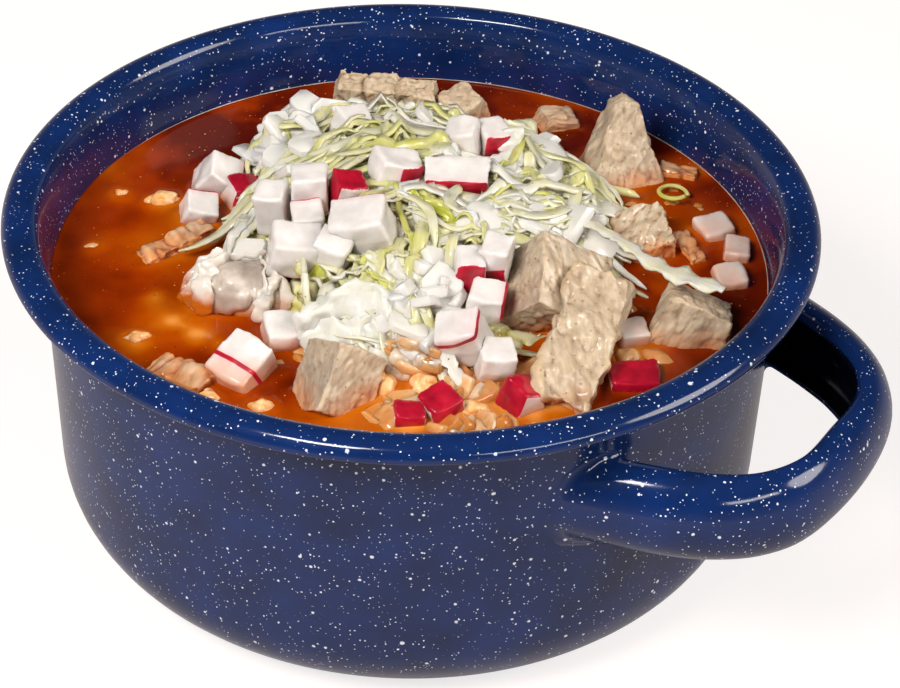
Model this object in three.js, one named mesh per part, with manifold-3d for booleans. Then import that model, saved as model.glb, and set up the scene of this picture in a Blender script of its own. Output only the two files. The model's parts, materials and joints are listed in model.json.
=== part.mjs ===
// Red pozole served in an enamelled steel pot with one loop handle.
//
// Units are millimetres and +Z is up. The origin is the centre of the pot's flat base, and the
// handle points along +X. The food is laid out in its own serving frame: X to the right and Y away
// from the diner. That frame is turned about Z, so the handle ends up at the diner's right hand.

import * as THREE from 'three';
import { mergeVertices } from 'three/addons/utils/BufferGeometryUtils.js';
import Module from 'manifold-3d';

const wasm = await Module();
wasm.setup();

// ---------------------------------------------------------------- driving dimensions

const RIM_RADIUS = 110; // a pot of the 20 cm size, measured over its rolled rim
const RIM_TOP = 98.5;
// The rolled rim's section, in from its outer edge and down from its top: the underside from the
// wall out to the hem, then over the crest and back down to the wall.
const RIM_SECTION = [
  [9.1, 6.0], [6.8, 2.6], [2.6, 2.2], [1.4, 4.4], [0.1, 4.2], [0, 2.8],
  [1.2, 1.1], [3.4, 0.1], [6.2, 0], [9.0, 1.4], [10.7, 5.4],
];
const WALL_TOP_RADIUS = 99.9; // outside, just under the rim
const WALL_TOP = 88;
const WALL = 1.5; // steel with its enamel on both sides
const TAPER = THREE.MathUtils.degToRad(1.2);
const BASE_RADIUS = 74; // the flat that the pot stands on
const BASE_CORNER = 24.5;
const POT_SIDES = 56;
const CORNER_STEPS = 5;

const HANDLE_HEIGHT = 25; // of the pressed strap, measured up the wall
const HANDLE_LEVEL = 66.5; // middle of the strap above the base
const HANDLE_REACH = 127.5; // inner face of the grip bar from the pot's axis
const HANDLE_DEPTH = { grip: 10.6, root: 14.8 };
const HANDLE_SHEET = 1.7;
const HANDLE_CREST = 0.3; // where the strap is tallest, as a share of its depth
const HANDLE_LIP = 0.84; // height of the strap at its open side, as a share of its tallest
// Inner face of one arm seen from above, from inside the wall to the grip bar.
const HANDLE_ARM = [[72, 46.6], [92, 41.2], [103, 37.8], [113, 33.5], [122, 26.5], [HANDLE_REACH, 15]];

const LEVEL = 77; // surface of the broth
const GAP = 0.3; // kept between any two pieces
const SERVING_TURN = THREE.MathUtils.degToRad(33.5);

const MOUND = { x: 3, y: 9, halfX: 55, halfY: 61, height: 17, depth: 12 };
const SPILL = { towards: THREE.MathUtils.degToRad(126), half: THREE.MathUtils.degToRad(26), reach: 0.2 };

// ---------------------------------------------------------------- finishes

const finish = (color, roughness, metalness = 0) =>
  new THREE.MeshStandardMaterial({ color, roughness, metalness });

const finishes = {
  enamel: finish('#16326e', 0.22),
  broth: finish('#8f3208', 0.15),
  pork: finish('#c4b096', 0.6),
  radish: finish('#ece6e2', 0.35),
  hominy: finish('#dc9650', 0.45),
  garnish: finish('#d9dcae', 0.5),
  lettuce: finish('#c7d27a', 0.5),
};

// ---------------------------------------------------------------- helpers

// A seeded generator of numbers from 0 to 1.
function seededRandom(seed) {
  let state = seed >>> 0;
  return () => {
    state = (state + 0x6d2b79f5) >>> 0;
    let t = state;
    t = Math.imul(t ^ (t >>> 15), t | 1);
    t ^= t + Math.imul(t ^ (t >>> 7), t | 61);
    return ((t ^ (t >>> 14)) >>> 0) / 4294967296;
  };
}

// The geometry with each corner held once, so that its faces share their vertices.
function welded(geometry) {
  const bare = geometry.clone();
  bare.deleteAttribute('normal');
  bare.deleteAttribute('uv');
  return mergeVertices(bare, 1e-3);
}

function toSolid(geometry) {
  const closed = welded(geometry);
  return new wasm.Manifold(
    new wasm.Mesh({
      numProp: 3,
      vertProperties: closed.attributes.position.array,
      triVerts: new Uint32Array(closed.index.array),
    }),
  );
}

// The solid as a geometry. A cut can leave loose scraps, so only the largest connected body stays.
function toGeometry(solid) {
  const mesh = solid.getMesh();
  const parent = Array.from({ length: mesh.vertProperties.length / mesh.numProp }, (_, i) => i);
  const rootOf = (i) => {
    while (parent[i] !== i) {
      parent[i] = parent[parent[i]];
      i = parent[i];
    }
    return i;
  };
  for (let t = 0; t < mesh.triVerts.length; t += 3) {
    parent[rootOf(mesh.triVerts[t])] = rootOf(mesh.triVerts[t + 1]);
    parent[rootOf(mesh.triVerts[t + 1])] = rootOf(mesh.triVerts[t + 2]);
  }
  const bodies = new Map();
  for (let t = 0; t < mesh.triVerts.length; t += 3) {
    const root = rootOf(mesh.triVerts[t]);
    if (!bodies.has(root)) bodies.set(root, []);
    bodies.get(root).push(...mesh.triVerts.subarray(t, t + 3));
  }
  const largest = [...bodies.values()].reduce((a, b) => (b.length > a.length ? b : a));
  const geometry = new THREE.BufferGeometry();
  geometry.setAttribute('position', new THREE.BufferAttribute(mesh.vertProperties, 3));
  geometry.setIndex(largest);
  return geometry.toNonIndexed();
}

// Points of an arc in a profile, angles in degrees from the +X (radius) direction.
function arc(centreX, centreY, radius, from, to, steps) {
  return Array.from({ length: steps + 1 }, (_, i) => {
    const angle = THREE.MathUtils.degToRad(from + ((to - from) * i) / steps);
    return new THREE.Vector2(
      centreX + radius * Math.cos(angle),
      centreY + radius * Math.sin(angle),
    );
  });
}

// A body turned about Z from a profile that runs anticlockwise from the axis back to the axis.
function turned(profile, sides) {
  const points = profile.map((p) => new THREE.Vector2(Math.max(p.x, 0), p.y));
  return new THREE.LatheGeometry(points, sides).rotateX(Math.PI / 2);
}

// A body through equal rings of points, closed at both ends. The rings run anticlockwise seen from
// the last ring.
function lofted(rings) {
  const count = rings[0].length;
  const corners = rings.flat().flatMap((p) => [p.x, p.y, p.z]);
  const index = [];
  for (let r = 0; r + 1 < rings.length; r++) {
    for (let i = 0; i < count; i++) {
      const a = r * count + i;
      const b = r * count + ((i + 1) % count);
      index.push(a, b, b + count, a, b + count, a + count);
    }
  }
  const flat = rings[0].flatPoints;
  for (const [i, j, k] of THREE.ShapeUtils.triangulateShape(flat, [])) {
    const last = (rings.length - 1) * count;
    index.push(k, j, i, last + i, last + j, last + k);
  }
  const geometry = new THREE.BufferGeometry();
  geometry.setAttribute('position', new THREE.Float32BufferAttribute(corners, 3));
  geometry.setIndex(index);
  return geometry;
}

// The same closed geometry, swollen along its corner normals.
function swollen(geometry, by) {
  const body = welded(geometry);
  body.computeVertexNormals();
  const { position, normal } = body.attributes;
  for (let i = 0; i < position.count; i++) {
    position.setXYZ(
      i,
      position.getX(i) + normal.getX(i) * by,
      position.getY(i) + normal.getY(i) * by,
      position.getZ(i) + normal.getZ(i) * by,
    );
  }
  return body;
}

const SWELL = GAP * 1.7; // corner normals lean away from the faces, so they travel further

// ---------------------------------------------------------------- pot

// The pot's section: base, rounded corner, tapered wall and the rim rolled outwards and down.
function potProfile() {
  const taperDegrees = THREE.MathUtils.radToDeg(TAPER);
  const inner = BASE_CORNER - WALL;
  return [
    new THREE.Vector2(0, 0),
    ...arc(BASE_RADIUS, BASE_CORNER, BASE_CORNER, -90, -taperDegrees, CORNER_STEPS),
    new THREE.Vector2(WALL_TOP_RADIUS, WALL_TOP),
    ...RIM_SECTION.map(([inwards, down]) => new THREE.Vector2(RIM_RADIUS - inwards, RIM_TOP - down)),
    new THREE.Vector2(WALL_TOP_RADIUS - WALL, WALL_TOP),
    ...arc(BASE_RADIUS, BASE_CORNER, inner, -taperDegrees, -90, CORNER_STEPS),
    new THREE.Vector2(0, WALL),
  ];
}

// Outer radius of the tapered wall at a height.
const wallRadius = (z) => WALL_TOP_RADIUS - (WALL_TOP - z) * Math.tan(TAPER);

// Stations along the handle's inner face, from the wall at +Y round the grip to -Y. Each has its
// place, its outward direction and the depth of the strap, which is deepest at the wall.
function handleStations(count = 17) {
  const line = new THREE.CatmullRomCurve3([
    ...HANDLE_ARM.map(([x, y]) => new THREE.Vector3(x, y, 0)),
    new THREE.Vector3(HANDLE_REACH, 0, 0),
    ...[...HANDLE_ARM].reverse().map(([x, y]) => new THREE.Vector3(x, -y, 0)),
  ]);
  return Array.from({ length: count }, (_, i) => {
    const share = i / (count - 1);
    const place = line.getPoint(share);
    const along = line.getTangent(share);
    const back = (HANDLE_REACH - place.x) / (HANDLE_REACH - HANDLE_ARM[0][0]);
    return {
      place,
      out: new THREE.Vector3(-along.y, along.x, 0).normalize(),
      depth: THREE.MathUtils.lerp(HANDLE_DEPTH.grip, HANDLE_DEPTH.root, Math.max(back, 0)),
    };
  });
}

// Half of the strap's section, from the lip at the gap over the crest to the middle of its outer
// face. X is the depth and Y the height.
function halfSection(depth, half) {
  const crest = HANDLE_CREST * depth;
  const steps = 4;
  const points = [new THREE.Vector2(0, half * HANDLE_LIP)];
  for (let i = 0; i < steps; i++) {
    const angle = (Math.PI / 2) * (i / steps);
    points.push(
      new THREE.Vector2(
        crest + (depth - crest) * Math.sin(angle),
        half * Math.cos(angle),
      ),
    );
  }
  return points;
}

// The strap's section is a channel: rounded outside, hollow and open towards the gap.
function channelRing({ place, out, depth }) {
  const half = HANDLE_HEIGHT / 2;
  const outer = halfSection(depth, half);
  const inner = halfSection(depth - HANDLE_SHEET, half - HANDLE_SHEET);
  const below = (p) => new THREE.Vector2(p.x, -p.y);
  const section = [
    ...outer.map(below),
    new THREE.Vector2(depth, 0),
    ...[...outer].reverse(),
    ...inner,
    new THREE.Vector2(depth - HANDLE_SHEET, 0),
    ...inner.map(below).reverse(),
  ];
  const ring = section.map(
    (p) => new THREE.Vector3(place.x + out.x * p.x, place.y + out.y * p.x, HANDLE_LEVEL + p.y),
  );
  ring.flatPoints = section;
  return ring;
}

function makePot() {
  const body = toSolid(turned(potProfile(), POT_SIDES));
  const strap = toSolid(lofted(handleStations().map(channelRing)));
  const low = HANDLE_LEVEL - HANDLE_HEIGHT;
  const high = HANDLE_LEVEL + HANDLE_HEIGHT;
  const insideTheWall = toSolid(
    turned(
      [
        new THREE.Vector2(0, low),
        new THREE.Vector2(wallRadius(low) - WALL / 2, low),
        new THREE.Vector2(wallRadius(high) - WALL / 2, high),
        new THREE.Vector2(0, high),
      ],
      POT_SIDES,
    ),
  );
  return body.add(strap.subtract(insideTheWall));
}

// ---------------------------------------------------------------- kinds of food

// Places a unit shape: first its size, then its turn (pitch, roll, yaw in degrees), then its place.
function placed(geometry, { at, size, turn = [0, 0, 0] }) {
  const [pitch, roll, yaw] = turn.map(THREE.MathUtils.degToRad);
  return geometry
    .scale(...size)
    .applyMatrix4(new THREE.Matrix4().makeRotationFromEuler(new THREE.Euler(pitch, roll, yaw, 'ZYX')))
    .translate(...at);
}

// Moves each corner of a welded geometry by a function of its place.
function reshaped(geometry, move) {
  const body = welded(geometry);
  const { position } = body.attributes;
  const p = new THREE.Vector3();
  for (let i = 0; i < position.count; i++) {
    p.fromBufferAttribute(position, i);
    move(p);
    position.setXYZ(i, p.x, p.y, p.z);
  }
  return body;
}

// A step of up to half the reach along each axis.
function jitter(random, reach) {
  return new THREE.Vector3(random() - 0.5, random() - 0.5, random() - 0.5).multiplyScalar(reach);
}

const BALL = 0.62; // a unit chunk's corners are drawn towards a ball of this radius
const TORN = 0.1; // unevenness of a chunk, as a share of its size
const KNIFE = 0.09; // unevenness of a die

// A chunk cut from cooked meat: flat faces, knocked corners, a taper and torn edges.
function chunk({ cells, round = 0.16, taper = [0, 0], seed, ...place }) {
  const random = seededRandom(seed);
  const unit = reshaped(new THREE.BoxGeometry(1, 1, 1, ...cells), (p) => {
    p.lerp(p.clone().setLength(BALL), round);
    p.x *= 1 + taper[0] * p.z;
    p.y *= 1 + taper[1] * p.z;
    p.add(jitter(random, TORN));
  });
  return placed(unit, place);
}

// A knife-cut die of radish. One face is the root's curved skin.
function die({ seed, ...place }) {
  const skin = 0.12;
  const random = seededRandom(seed);
  const unit = reshaped(new THREE.BoxGeometry(1, 1, 1, 2, 1, 2), (p) => {
    if (p.y < 0) p.y -= skin * (1 - 2 * p.x * p.x - 2 * p.z * p.z);
    p.add(jitter(random, KNIFE));
  });
  return placed(unit, place);
}

// A swollen hominy kernel: round at one end, narrower and flat at the tip.
function kernel({ seed, ...place }) {
  const random = seededRandom(seed);
  const unit = reshaped(new THREE.OctahedronGeometry(0.5, 1), (p) => {
    const tip = Math.max(0, p.x);
    p.y *= 1 - 0.45 * tip;
    p.z *= 1 - 0.35 * tip;
    p.x = Math.min(p.x, 0.43);
    p.multiplyScalar(0.94 + 0.12 * random());
  });
  return placed(unit, place);
}

// A strip of leaf along a smooth curve.
function shred(points, width, thick) {
  const curve = new THREE.CatmullRomCurve3(points.map((p) => new THREE.Vector3(...p)));
  const section = new THREE.Shape([
    new THREE.Vector2(-thick / 2, -width / 2),
    new THREE.Vector2(thick / 2, -width / 2),
    new THREE.Vector2(thick / 2, width / 2),
    new THREE.Vector2(-thick / 2, width / 2),
  ]);
  const steps = points.length;
  return new THREE.ExtrudeGeometry(section, { steps, extrudePath: curve });
}

// A loose strand of lettuce, a shred with a name of its own.
const strand = ({ line, width, thick }) => shred(line, width, thick);

// A closed curl of lettuce rib.
function curl({ radius, thick, ...place }) {
  return placed(new THREE.TorusGeometry(radius, thick, 5, 10), { size: [1, 1, 1], ...place });
}

// ---------------------------------------------------------------- where the pieces lie

// Pork, largest first. All places are in the serving frame.
const PORK = {
  pork_centre: {
    at: [38.5, -24, 85.5], size: [25, 22, 19], turn: [38, 32, 18], cells: [2, 2, 2], seed: 11,
  },
  pork_front_strip: {
    at: [44, -47, 85], size: [16, 44, 8], turn: [21, 8, -14], cells: [2, 5, 1], round: 0.1, seed: 12,
  },
  pork_right: {
    at: [74.5, -30, 79.5], size: [19, 15, 16], turn: [-8, 18, -8], cells: [2, 2, 2], seed: 13,
  },
  pork_front_left: {
    at: [-18, -59, 80], size: [16, 19, 15], turn: [60, 35, 21], cells: [2, 2, 2], round: 0.06,
    seed: 14,
  },
  pork_back_wedge: {
    at: [60, 51, 84.5], size: [17, 14, 26], turn: [-18, 6, 11], cells: [2, 2, 3],
    taper: [-1.1, -0.9], seed: 15,
  },
  pork_back_strip: {
    at: [-9, 78, 82], size: [31, 9, 13], turn: [12, 3, -4], cells: [5, 1, 2], round: 0.1, seed: 16,
  },
  pork_back_block: {
    at: [14, 77, 80], size: [13, 12, 11], turn: [10, -10, 38], cells: [2, 2, 2],
    taper: [-0.4, -0.2], seed: 17,
  },
  pork_back_bit: {
    at: [43, 74, 77.5], size: [13, 10, 7], turn: [8, 10, 20], cells: [2, 2, 1],
    taper: [-0.5, 0], seed: 18,
  },
  pork_side: {
    at: [64, 11, 79], size: [16, 17, 12], turn: [16, -8, 12], cells: [2, 2, 2], seed: 19,
  },
  pork_fat_lump: {
    at: [-46, -20, 78.5], size: [25, 16, 15], turn: [4, 4, -8], cells: [3, 2, 2], round: 0.5, seed: 20,
  },
  pork_flake_left: {
    at: [-65, 4, 77], size: [24, 8, 7], turn: [0, -8, 38], cells: [3, 1, 1], round: 0.2, seed: 21,
  },
  pork_flake_front: {
    at: [-58, -55, 76.5], size: [18, 10, 7], turn: [0, 0, -30], cells: [3, 2, 1], round: 0.3, seed: 22,
  },
  pork_flake_right: {
    at: [77, 47, 77], size: [12, 6, 5], turn: [0, 0, -14], cells: [2, 1, 1], round: 0.2, seed: 23,
  },
  pork_flake_edge: {
    at: [77, 8, 76.5], size: [6, 15, 6], turn: [0, 0, 20], cells: [1, 2, 1], round: 0.2, seed: 24,
  },
};

// Diced radish: white flesh, some dice with red skin towards the diner.
const RADISH = {
  radish_left_large: { at: [-56, 35, 80], size: [10, 9, 13], turn: [24, 32, 8], seed: 31 },
  radish_left_small: { at: [-60, 20, 79.5], size: [9, 8, 9], turn: [26, 18, 12], seed: 32 },
  radish_left_red: { at: [-48, 28, 79.5], size: [9, 8, 8], turn: [6, 12, 24], seed: 33 },
  radish_mound_left: { at: [-31, -15.5, 91], size: [13, 10, 10], turn: [12, 6, 6], seed: 34 },
  radish_mound_step: { at: [-28, -4.5, 93], size: [8, 8, 8], turn: [10, -4, 8], seed: 35 },
  radish_mound_tall: { at: [-28, 5.5, 96], size: [9, 8, 12], turn: [4, 0, 4], seed: 36 },
  radish_mound_pale: { at: [-38, 3, 92], size: [8, 8, 13], turn: [10, -6, -10], seed: 37 },
  radish_mound_round: { at: [-21, -18, 92.5], size: [9, 8, 9], turn: [14, 10, -20], seed: 38 },
  radish_big: { at: [-13, -13, 97], size: [15, 11, 12], turn: [16, -14, -10], seed: 39 },
  radish_skin_left: { at: [-18, 5, 96.5], size: [8, 7, 9], turn: [14, 10, 20], seed: 40 },
  radish_peak_pair: { at: [-5, 15, 97.5], size: [12, 8, 8], turn: [8, 20, 24], seed: 41 },
  radish_back_left: { at: [-18, 46, 92], size: [9, 8, 9], turn: [14, 12, 30], seed: 42 },
  radish_slice: { at: [12, 12.5, 97.5], size: [17, 9, 5], turn: [16, 2, 4], seed: 43 },
  radish_peak_right: { at: [14, 32, 97], size: [8, 8, 10], turn: [12, -10, -14], seed: 44 },
  radish_peak_red: { at: [22, 35, 95.5], size: [8, 8, 8], turn: [10, 8, 28], seed: 45 },
  radish_front_red: { at: [15, -26, 93], size: [7, 8, 10], turn: [10, 4, 6], seed: 46 },
  radish_front_white: { at: [22.5, -23, 94.5], size: [7, 8, 12], turn: [12, 4, -18], seed: 47 },
  radish_front_upper: { at: [20, -34.5, 89], size: [9, 8, 8], turn: [14, 6, -8], seed: 48 },
  radish_front_stack: { at: [14, -47, 86], size: [11, 9, 12], turn: [18, -20, -12], seed: 49 },
  radish_front_low: { at: [22, -51, 82], size: [9, 8, 9], turn: [12, 8, 14], seed: 50 },
  radish_broth_left: { at: [-43, -52, 79.5], size: [13, 13, 9], turn: [24, 8, -34], seed: 51 },
  radish_broth_mid: { at: [-33, -38, 80], size: [10, 9, 7], turn: [14, 6, 18], seed: 52 },
  radish_front_cube: { at: [8, -66, 79], size: [8, 8, 6], turn: [12, -14, 32], seed: 53 },
  radish_front_dark: { at: [0, -70, 78], size: [7, 6, 5], turn: [6, 6, 8], seed: 54 },
  radish_front_right: { at: [29, -63, 79], size: [9, 8, 8], turn: [10, 20, 40], seed: 55 },
  radish_sunk_right: { at: [58, -52, 76.5], size: [13, 9, 7], turn: [6, 0, 4], seed: 56 },
  radish_right_white: { at: [58, -34, 78], size: [8, 7, 7], turn: [10, 6, 18], seed: 57 },
  radish_far_a: { at: [85, 18, 77], size: [9, 8, 6], turn: [6, -6, 24], seed: 58 },
  radish_far_b: { at: [90, 7, 77], size: [7, 8, 7], turn: [4, 4, -6], seed: 59 },
  radish_far_c: { at: [87, -6, 77], size: [8, 8, 6], turn: [8, -4, 10], seed: 60 },
};

// Hominy that breaks the surface of the broth.
const HOMINY = {
  hominy_left_a: { at: [-83, 31, 75.6], size: [9, 7, 6], turn: [0, -12, 140], seed: 71 },
  hominy_left_b: { at: [-71, 28, 76.4], size: [14, 8, 7], turn: [0, -6, 14], seed: 72 },
  hominy_left_c: { at: [-88, 4, 75.6], size: [8, 6, 6], turn: [0, 0, 20], seed: 73 },
  hominy_front_a: { at: [-72, -38, 75.8], size: [11, 8, 7], turn: [0, -6, 8], seed: 74 },
  hominy_front_b: { at: [-52, -62, 76], size: [13, 9, 7], turn: [0, 0, -24], seed: 75 },
  hominy_front_c: { at: [-37, -66, 76], size: [10, 8, 7], turn: [0, 0, 10], seed: 76 },
  hominy_front_d: { at: [-7, -57, 77], size: [11, 9, 8], turn: [0, 10, 60], seed: 77 },
  hominy_front_e: { at: [4, -57, 77.5], size: [10, 9, 8], turn: [0, -8, 120], seed: 78 },
  hominy_front_f: { at: [16, -66, 76.5], size: [12, 8, 7], turn: [0, 0, -8], seed: 79 },
  hominy_front_g: { at: [32, -75, 76.5], size: [10, 8, 7], turn: [0, 8, 30], seed: 80 },
  hominy_right_a: { at: [57, -42, 76.5], size: [10, 8, 7], turn: [0, 0, 70], seed: 81 },
};

// A curl of lettuce that floats beside the mound.
const CURLS = {
  lettuce_curl: { at: [74.5, 34, LEVEL + 1.4], turn: [16, -8, 0], radius: 4.2, thick: 0.9 },
};

// The longest strand leaves the mound, crosses the centre chunk and lies on the one at the right.
const STRANDS = {
  lettuce_strand: {
    line: [[40, 5, 89], [48, -3, 93], [56.5, -14, 94.5], [63, -21.6, 94], [70, -26, 93], [82, -31.6, 92]],
    width: 5, thick: 1.3,
  },
};

// ---------------------------------------------------------------- garnish mound

// How far the mound's uneven edge stands out in each direction, as a share of its ellipse. It has
// spilled furthest to the back left.
function moundEdge(around) {
  const offSpill = Math.atan2(
    Math.sin(around - SPILL.towards),
    Math.cos(around - SPILL.towards),
  );
  return (
    1 +
    SPILL.reach * Math.exp(-((offSpill / SPILL.half) ** 2)) +
    0.03 * Math.sin(3 * around + 1) +
    0.02 * Math.sin(5 * around + 4)
  );
}

// Height of the bare mound above the broth at a place in the serving frame, below 0 outside it.
function moundHeight(x, y) {
  const across = (x - MOUND.x) / MOUND.halfX;
  const along = (y - MOUND.y) / MOUND.halfY;
  const reach = Math.hypot(across, along) / moundEdge(Math.atan2(along, across));
  return reach < 1 ? MOUND.height * (1 - reach ** 2) ** 0.8 : -1;
}

// The bare mound: an uneven dome of packed shreds that reaches a little below the broth's surface.
function moundCore() {
  const random = seededRandom(5);
  return reshaped(new THREE.SphereGeometry(1, 20, 10).rotateX(Math.PI / 2), (p) => {
    const edge = moundEdge(Math.atan2(p.y, p.x));
    const bump = 0.9 * (random() - 0.5);
    const z = p.z > 0 ? MOUND.height * p.z ** 1.6 + bump : MOUND.depth * p.z;
    p.set(MOUND.x + MOUND.halfX * edge * p.x, MOUND.y + MOUND.halfY * edge * p.y, LEVEL + z);
  });
}

// A place on the mound by a sunflower spiral, so that the pieces cover it evenly.
function spiralPlace(i, count, spread = 0.94) {
  const radius = spread * Math.sqrt((i + 0.5) / count);
  const angle = i * Math.PI * (3 - Math.sqrt(5));
  const reach = radius * moundEdge(angle);
  return [
    MOUND.x + MOUND.halfX * reach * Math.cos(angle),
    MOUND.y + MOUND.halfY * reach * Math.sin(angle),
  ];
}

const SHREDS = 24;
const SHRED = { length: [20, 38], width: [3, 5.4], lift: [1.2, 3.4], sway: [-2.5, 2.5], thick: 1.1 };
const ONION_BITS = 14;
const ONION = { edge: [6, 9], thick: 4.5 };
const LOW_EDGE = 1.2; // pieces that reach past the mound keep this far above the broth

const between = (random, [low, high]) => low + (high - low) * random();

// Shreds of lettuce that lie over the mound, pressed into it at their middle.
function moundShreds() {
  const random = seededRandom(9);
  return Array.from({ length: SHREDS }, (_, i) => {
    const [x, y] = spiralPlace(i, SHREDS);
    const heading = random() * Math.PI;
    const length = between(random, SHRED.length);
    const width = between(random, SHRED.width);
    const lift = between(random, SHRED.lift);
    const sway = between(random, SHRED.sway);
    const points = [-0.5, 0, 0.5].map((t) => {
      const endness = 4 * t * t;
      const aside = sway * (endness - 0.5);
      const px = x + Math.cos(heading) * length * t - Math.sin(heading) * aside;
      const py = y + Math.sin(heading) * length * t + Math.cos(heading) * aside;
      const rise = Math.max(moundHeight(px, py), LOW_EDGE);
      return [px, py, LEVEL + rise + lift * endness];
    });
    return shred(points, width, SHRED.thick);
  });
}

// Chopped onion between the shreds.
function moundOnion() {
  const random = seededRandom(21);
  return Array.from({ length: ONION_BITS }, (_, i) => {
    const [x, y] = spiralPlace(i + 0.5, ONION_BITS, 0.9);
    const edge = between(random, ONION.edge);
    return placed(new THREE.BoxGeometry(1, 1, 1), {
      at: [x, y, LEVEL + Math.max(moundHeight(x, y), LOW_EDGE) + 1],
      size: [edge, edge * 0.8, ONION.thick],
      turn: [between(random, [-20, 20]), between(random, [-20, 20]), between(random, [0, 180])],
    });
  });
}

// Longer shreds that hang down the mound's sides.
function looseShreds() {
  return [
    shred([[-34, 22, 92], [-41, 17, 88], [-48, 11, 84], [-53, 6, 79.5]], 4.5, 1.2),
    shred([[-30, -20, 92], [-29, -27, 90], [-28, -33, 86]], 5, 1.2),
    shred([[10, -30, 93], [8, -42, 91], [11, -53, 86], [12, -60, 80.5]], 4.5, 1.2),
  ];
}

// ---------------------------------------------------------------- fitting the food together

function overlaps(a, b) {
  const p = a.boundingBox();
  const q = b.boundingBox();
  return [0, 1, 2].every((i) => p.min[i] < q.max[i] && q.min[i] < p.max[i]);
}

// Cuts a solid by the swollen copies of the pieces already laid.
function cutBy(solid, laid) {
  return laid
    .filter((other) => overlaps(solid, other))
    .reduce((rest, other) => rest.subtract(other), solid);
}

// Lays pieces one after another. Each later piece gives way to the earlier ones.
function layPieces(kinds) {
  const laid = [];
  const meshes = [];
  for (const { pieces, make, material } of kinds) {
    for (const [name, piece] of Object.entries(pieces)) {
      const body = make(piece);
      const geometry = toGeometry(cutBy(toSolid(body), laid));
      laid.push(toSolid(swollen(body, SWELL)));
      meshes.push({ name, geometry, material });
    }
  }
  return { laid, meshes };
}

// Everything from just above the broth down, which the fused shreds keep out of.
function belowSurface() {
  const height = 40;
  return toSolid(
    new THREE.BoxGeometry(3 * RIM_RADIUS, 3 * RIM_RADIUS, height).translate(
      0,
      0,
      LEVEL + GAP * 2 - height / 2,
    ),
  );
}

function makeGarnish(laid) {
  const core = toSolid(moundCore());
  const water = belowSurface();
  const fused = [...moundShreds(), ...moundOnion(), ...looseShreds()].map((g) =>
    toSolid(g).subtract(water),
  );
  const whole = fused.reduce((sum, piece) => sum.add(piece), core);
  return cutBy(whole, laid);
}

// The broth fills the pot to its level. It keeps twice the gap to the steel, because the flats of
// the two turned bodies don't face each other.
function brothProfile() {
  const clear = WALL + 2 * GAP;
  const taperDegrees = THREE.MathUtils.radToDeg(TAPER);
  return [
    new THREE.Vector2(0, clear),
    ...arc(BASE_RADIUS, BASE_CORNER, BASE_CORNER - clear, -90, -taperDegrees, CORNER_STEPS),
    new THREE.Vector2(wallRadius(LEVEL) - clear, LEVEL),
    new THREE.Vector2(0, LEVEL),
  ];
}

function makeBroth(laid) {
  const mound = toSolid(swollen(moundCore(), SWELL));
  return cutBy(toSolid(turned(brothProfile(), POT_SIDES)), [...laid, mound]);
}

// ---------------------------------------------------------------- the whole

const whole = new THREE.Group();

function addMesh(group, name, geometry, material) {
  const mesh = new THREE.Mesh(geometry, material);
  mesh.name = name;
  group.add(mesh);
}

const serving = new THREE.Group();
serving.rotation.z = SERVING_TURN;
whole.add(serving);

addMesh(whole, 'pot', toGeometry(makePot()), finishes.enamel);

const { laid, meshes } = layPieces([
  { pieces: PORK, make: chunk, material: finishes.pork },
  { pieces: RADISH, make: die, material: finishes.radish },
  { pieces: HOMINY, make: kernel, material: finishes.hominy },
  { pieces: CURLS, make: curl, material: finishes.lettuce },
  { pieces: STRANDS, make: strand, material: finishes.lettuce },
]);
for (const { name, geometry, material } of meshes) addMesh(serving, name, geometry, material);

addMesh(serving, 'garnish', toGeometry(makeGarnish(laid)), finishes.garnish);
addMesh(serving, 'broth', toGeometry(makeBroth(laid)), finishes.broth);

export default whole;
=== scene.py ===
# %% [markdown]
# # Red pozole in an enamel pot
# The dish is a speckled enamel pot, a red broth, chunks of pork, hominy, diced radish and a heap of
# shredded lettuce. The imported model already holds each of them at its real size. This lesson keeps
# that frame and dresses it: each plain solid is replaced by a piece with the form, surface and
# finish of the real thing, made with mesh code, Geometry Nodes and procedural materials.

# %% Load the frame
import json
import math

import bmesh
import bpy
import numpy as np
from mathutils import Matrix, Vector
from mathutils.bvhtree import BVHTree

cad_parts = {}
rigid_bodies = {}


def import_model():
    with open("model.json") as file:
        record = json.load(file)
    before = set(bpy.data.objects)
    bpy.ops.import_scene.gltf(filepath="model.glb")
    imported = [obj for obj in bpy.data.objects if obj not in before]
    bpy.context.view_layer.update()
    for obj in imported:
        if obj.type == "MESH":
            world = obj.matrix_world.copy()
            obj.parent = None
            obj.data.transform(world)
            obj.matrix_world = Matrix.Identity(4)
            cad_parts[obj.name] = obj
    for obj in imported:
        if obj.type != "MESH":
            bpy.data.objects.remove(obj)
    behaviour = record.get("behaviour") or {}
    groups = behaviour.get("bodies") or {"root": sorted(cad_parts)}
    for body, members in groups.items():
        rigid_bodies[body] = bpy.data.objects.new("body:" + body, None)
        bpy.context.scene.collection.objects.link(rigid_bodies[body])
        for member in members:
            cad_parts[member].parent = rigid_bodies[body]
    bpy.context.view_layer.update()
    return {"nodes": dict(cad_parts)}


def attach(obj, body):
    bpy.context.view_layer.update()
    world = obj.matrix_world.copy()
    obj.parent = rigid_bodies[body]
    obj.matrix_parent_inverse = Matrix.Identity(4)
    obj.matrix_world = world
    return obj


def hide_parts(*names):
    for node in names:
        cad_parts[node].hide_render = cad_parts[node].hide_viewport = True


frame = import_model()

# %% [markdown]
# ## Frames and units
# Blender works in metres, but food is easier to think of in millimetres. The food was also laid out
# as a diner sees it, X to the right and Y away, and that serving frame is turned about Z against the
# model's own frame, whose X runs through the handle. Small functions go between the frames.

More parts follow.
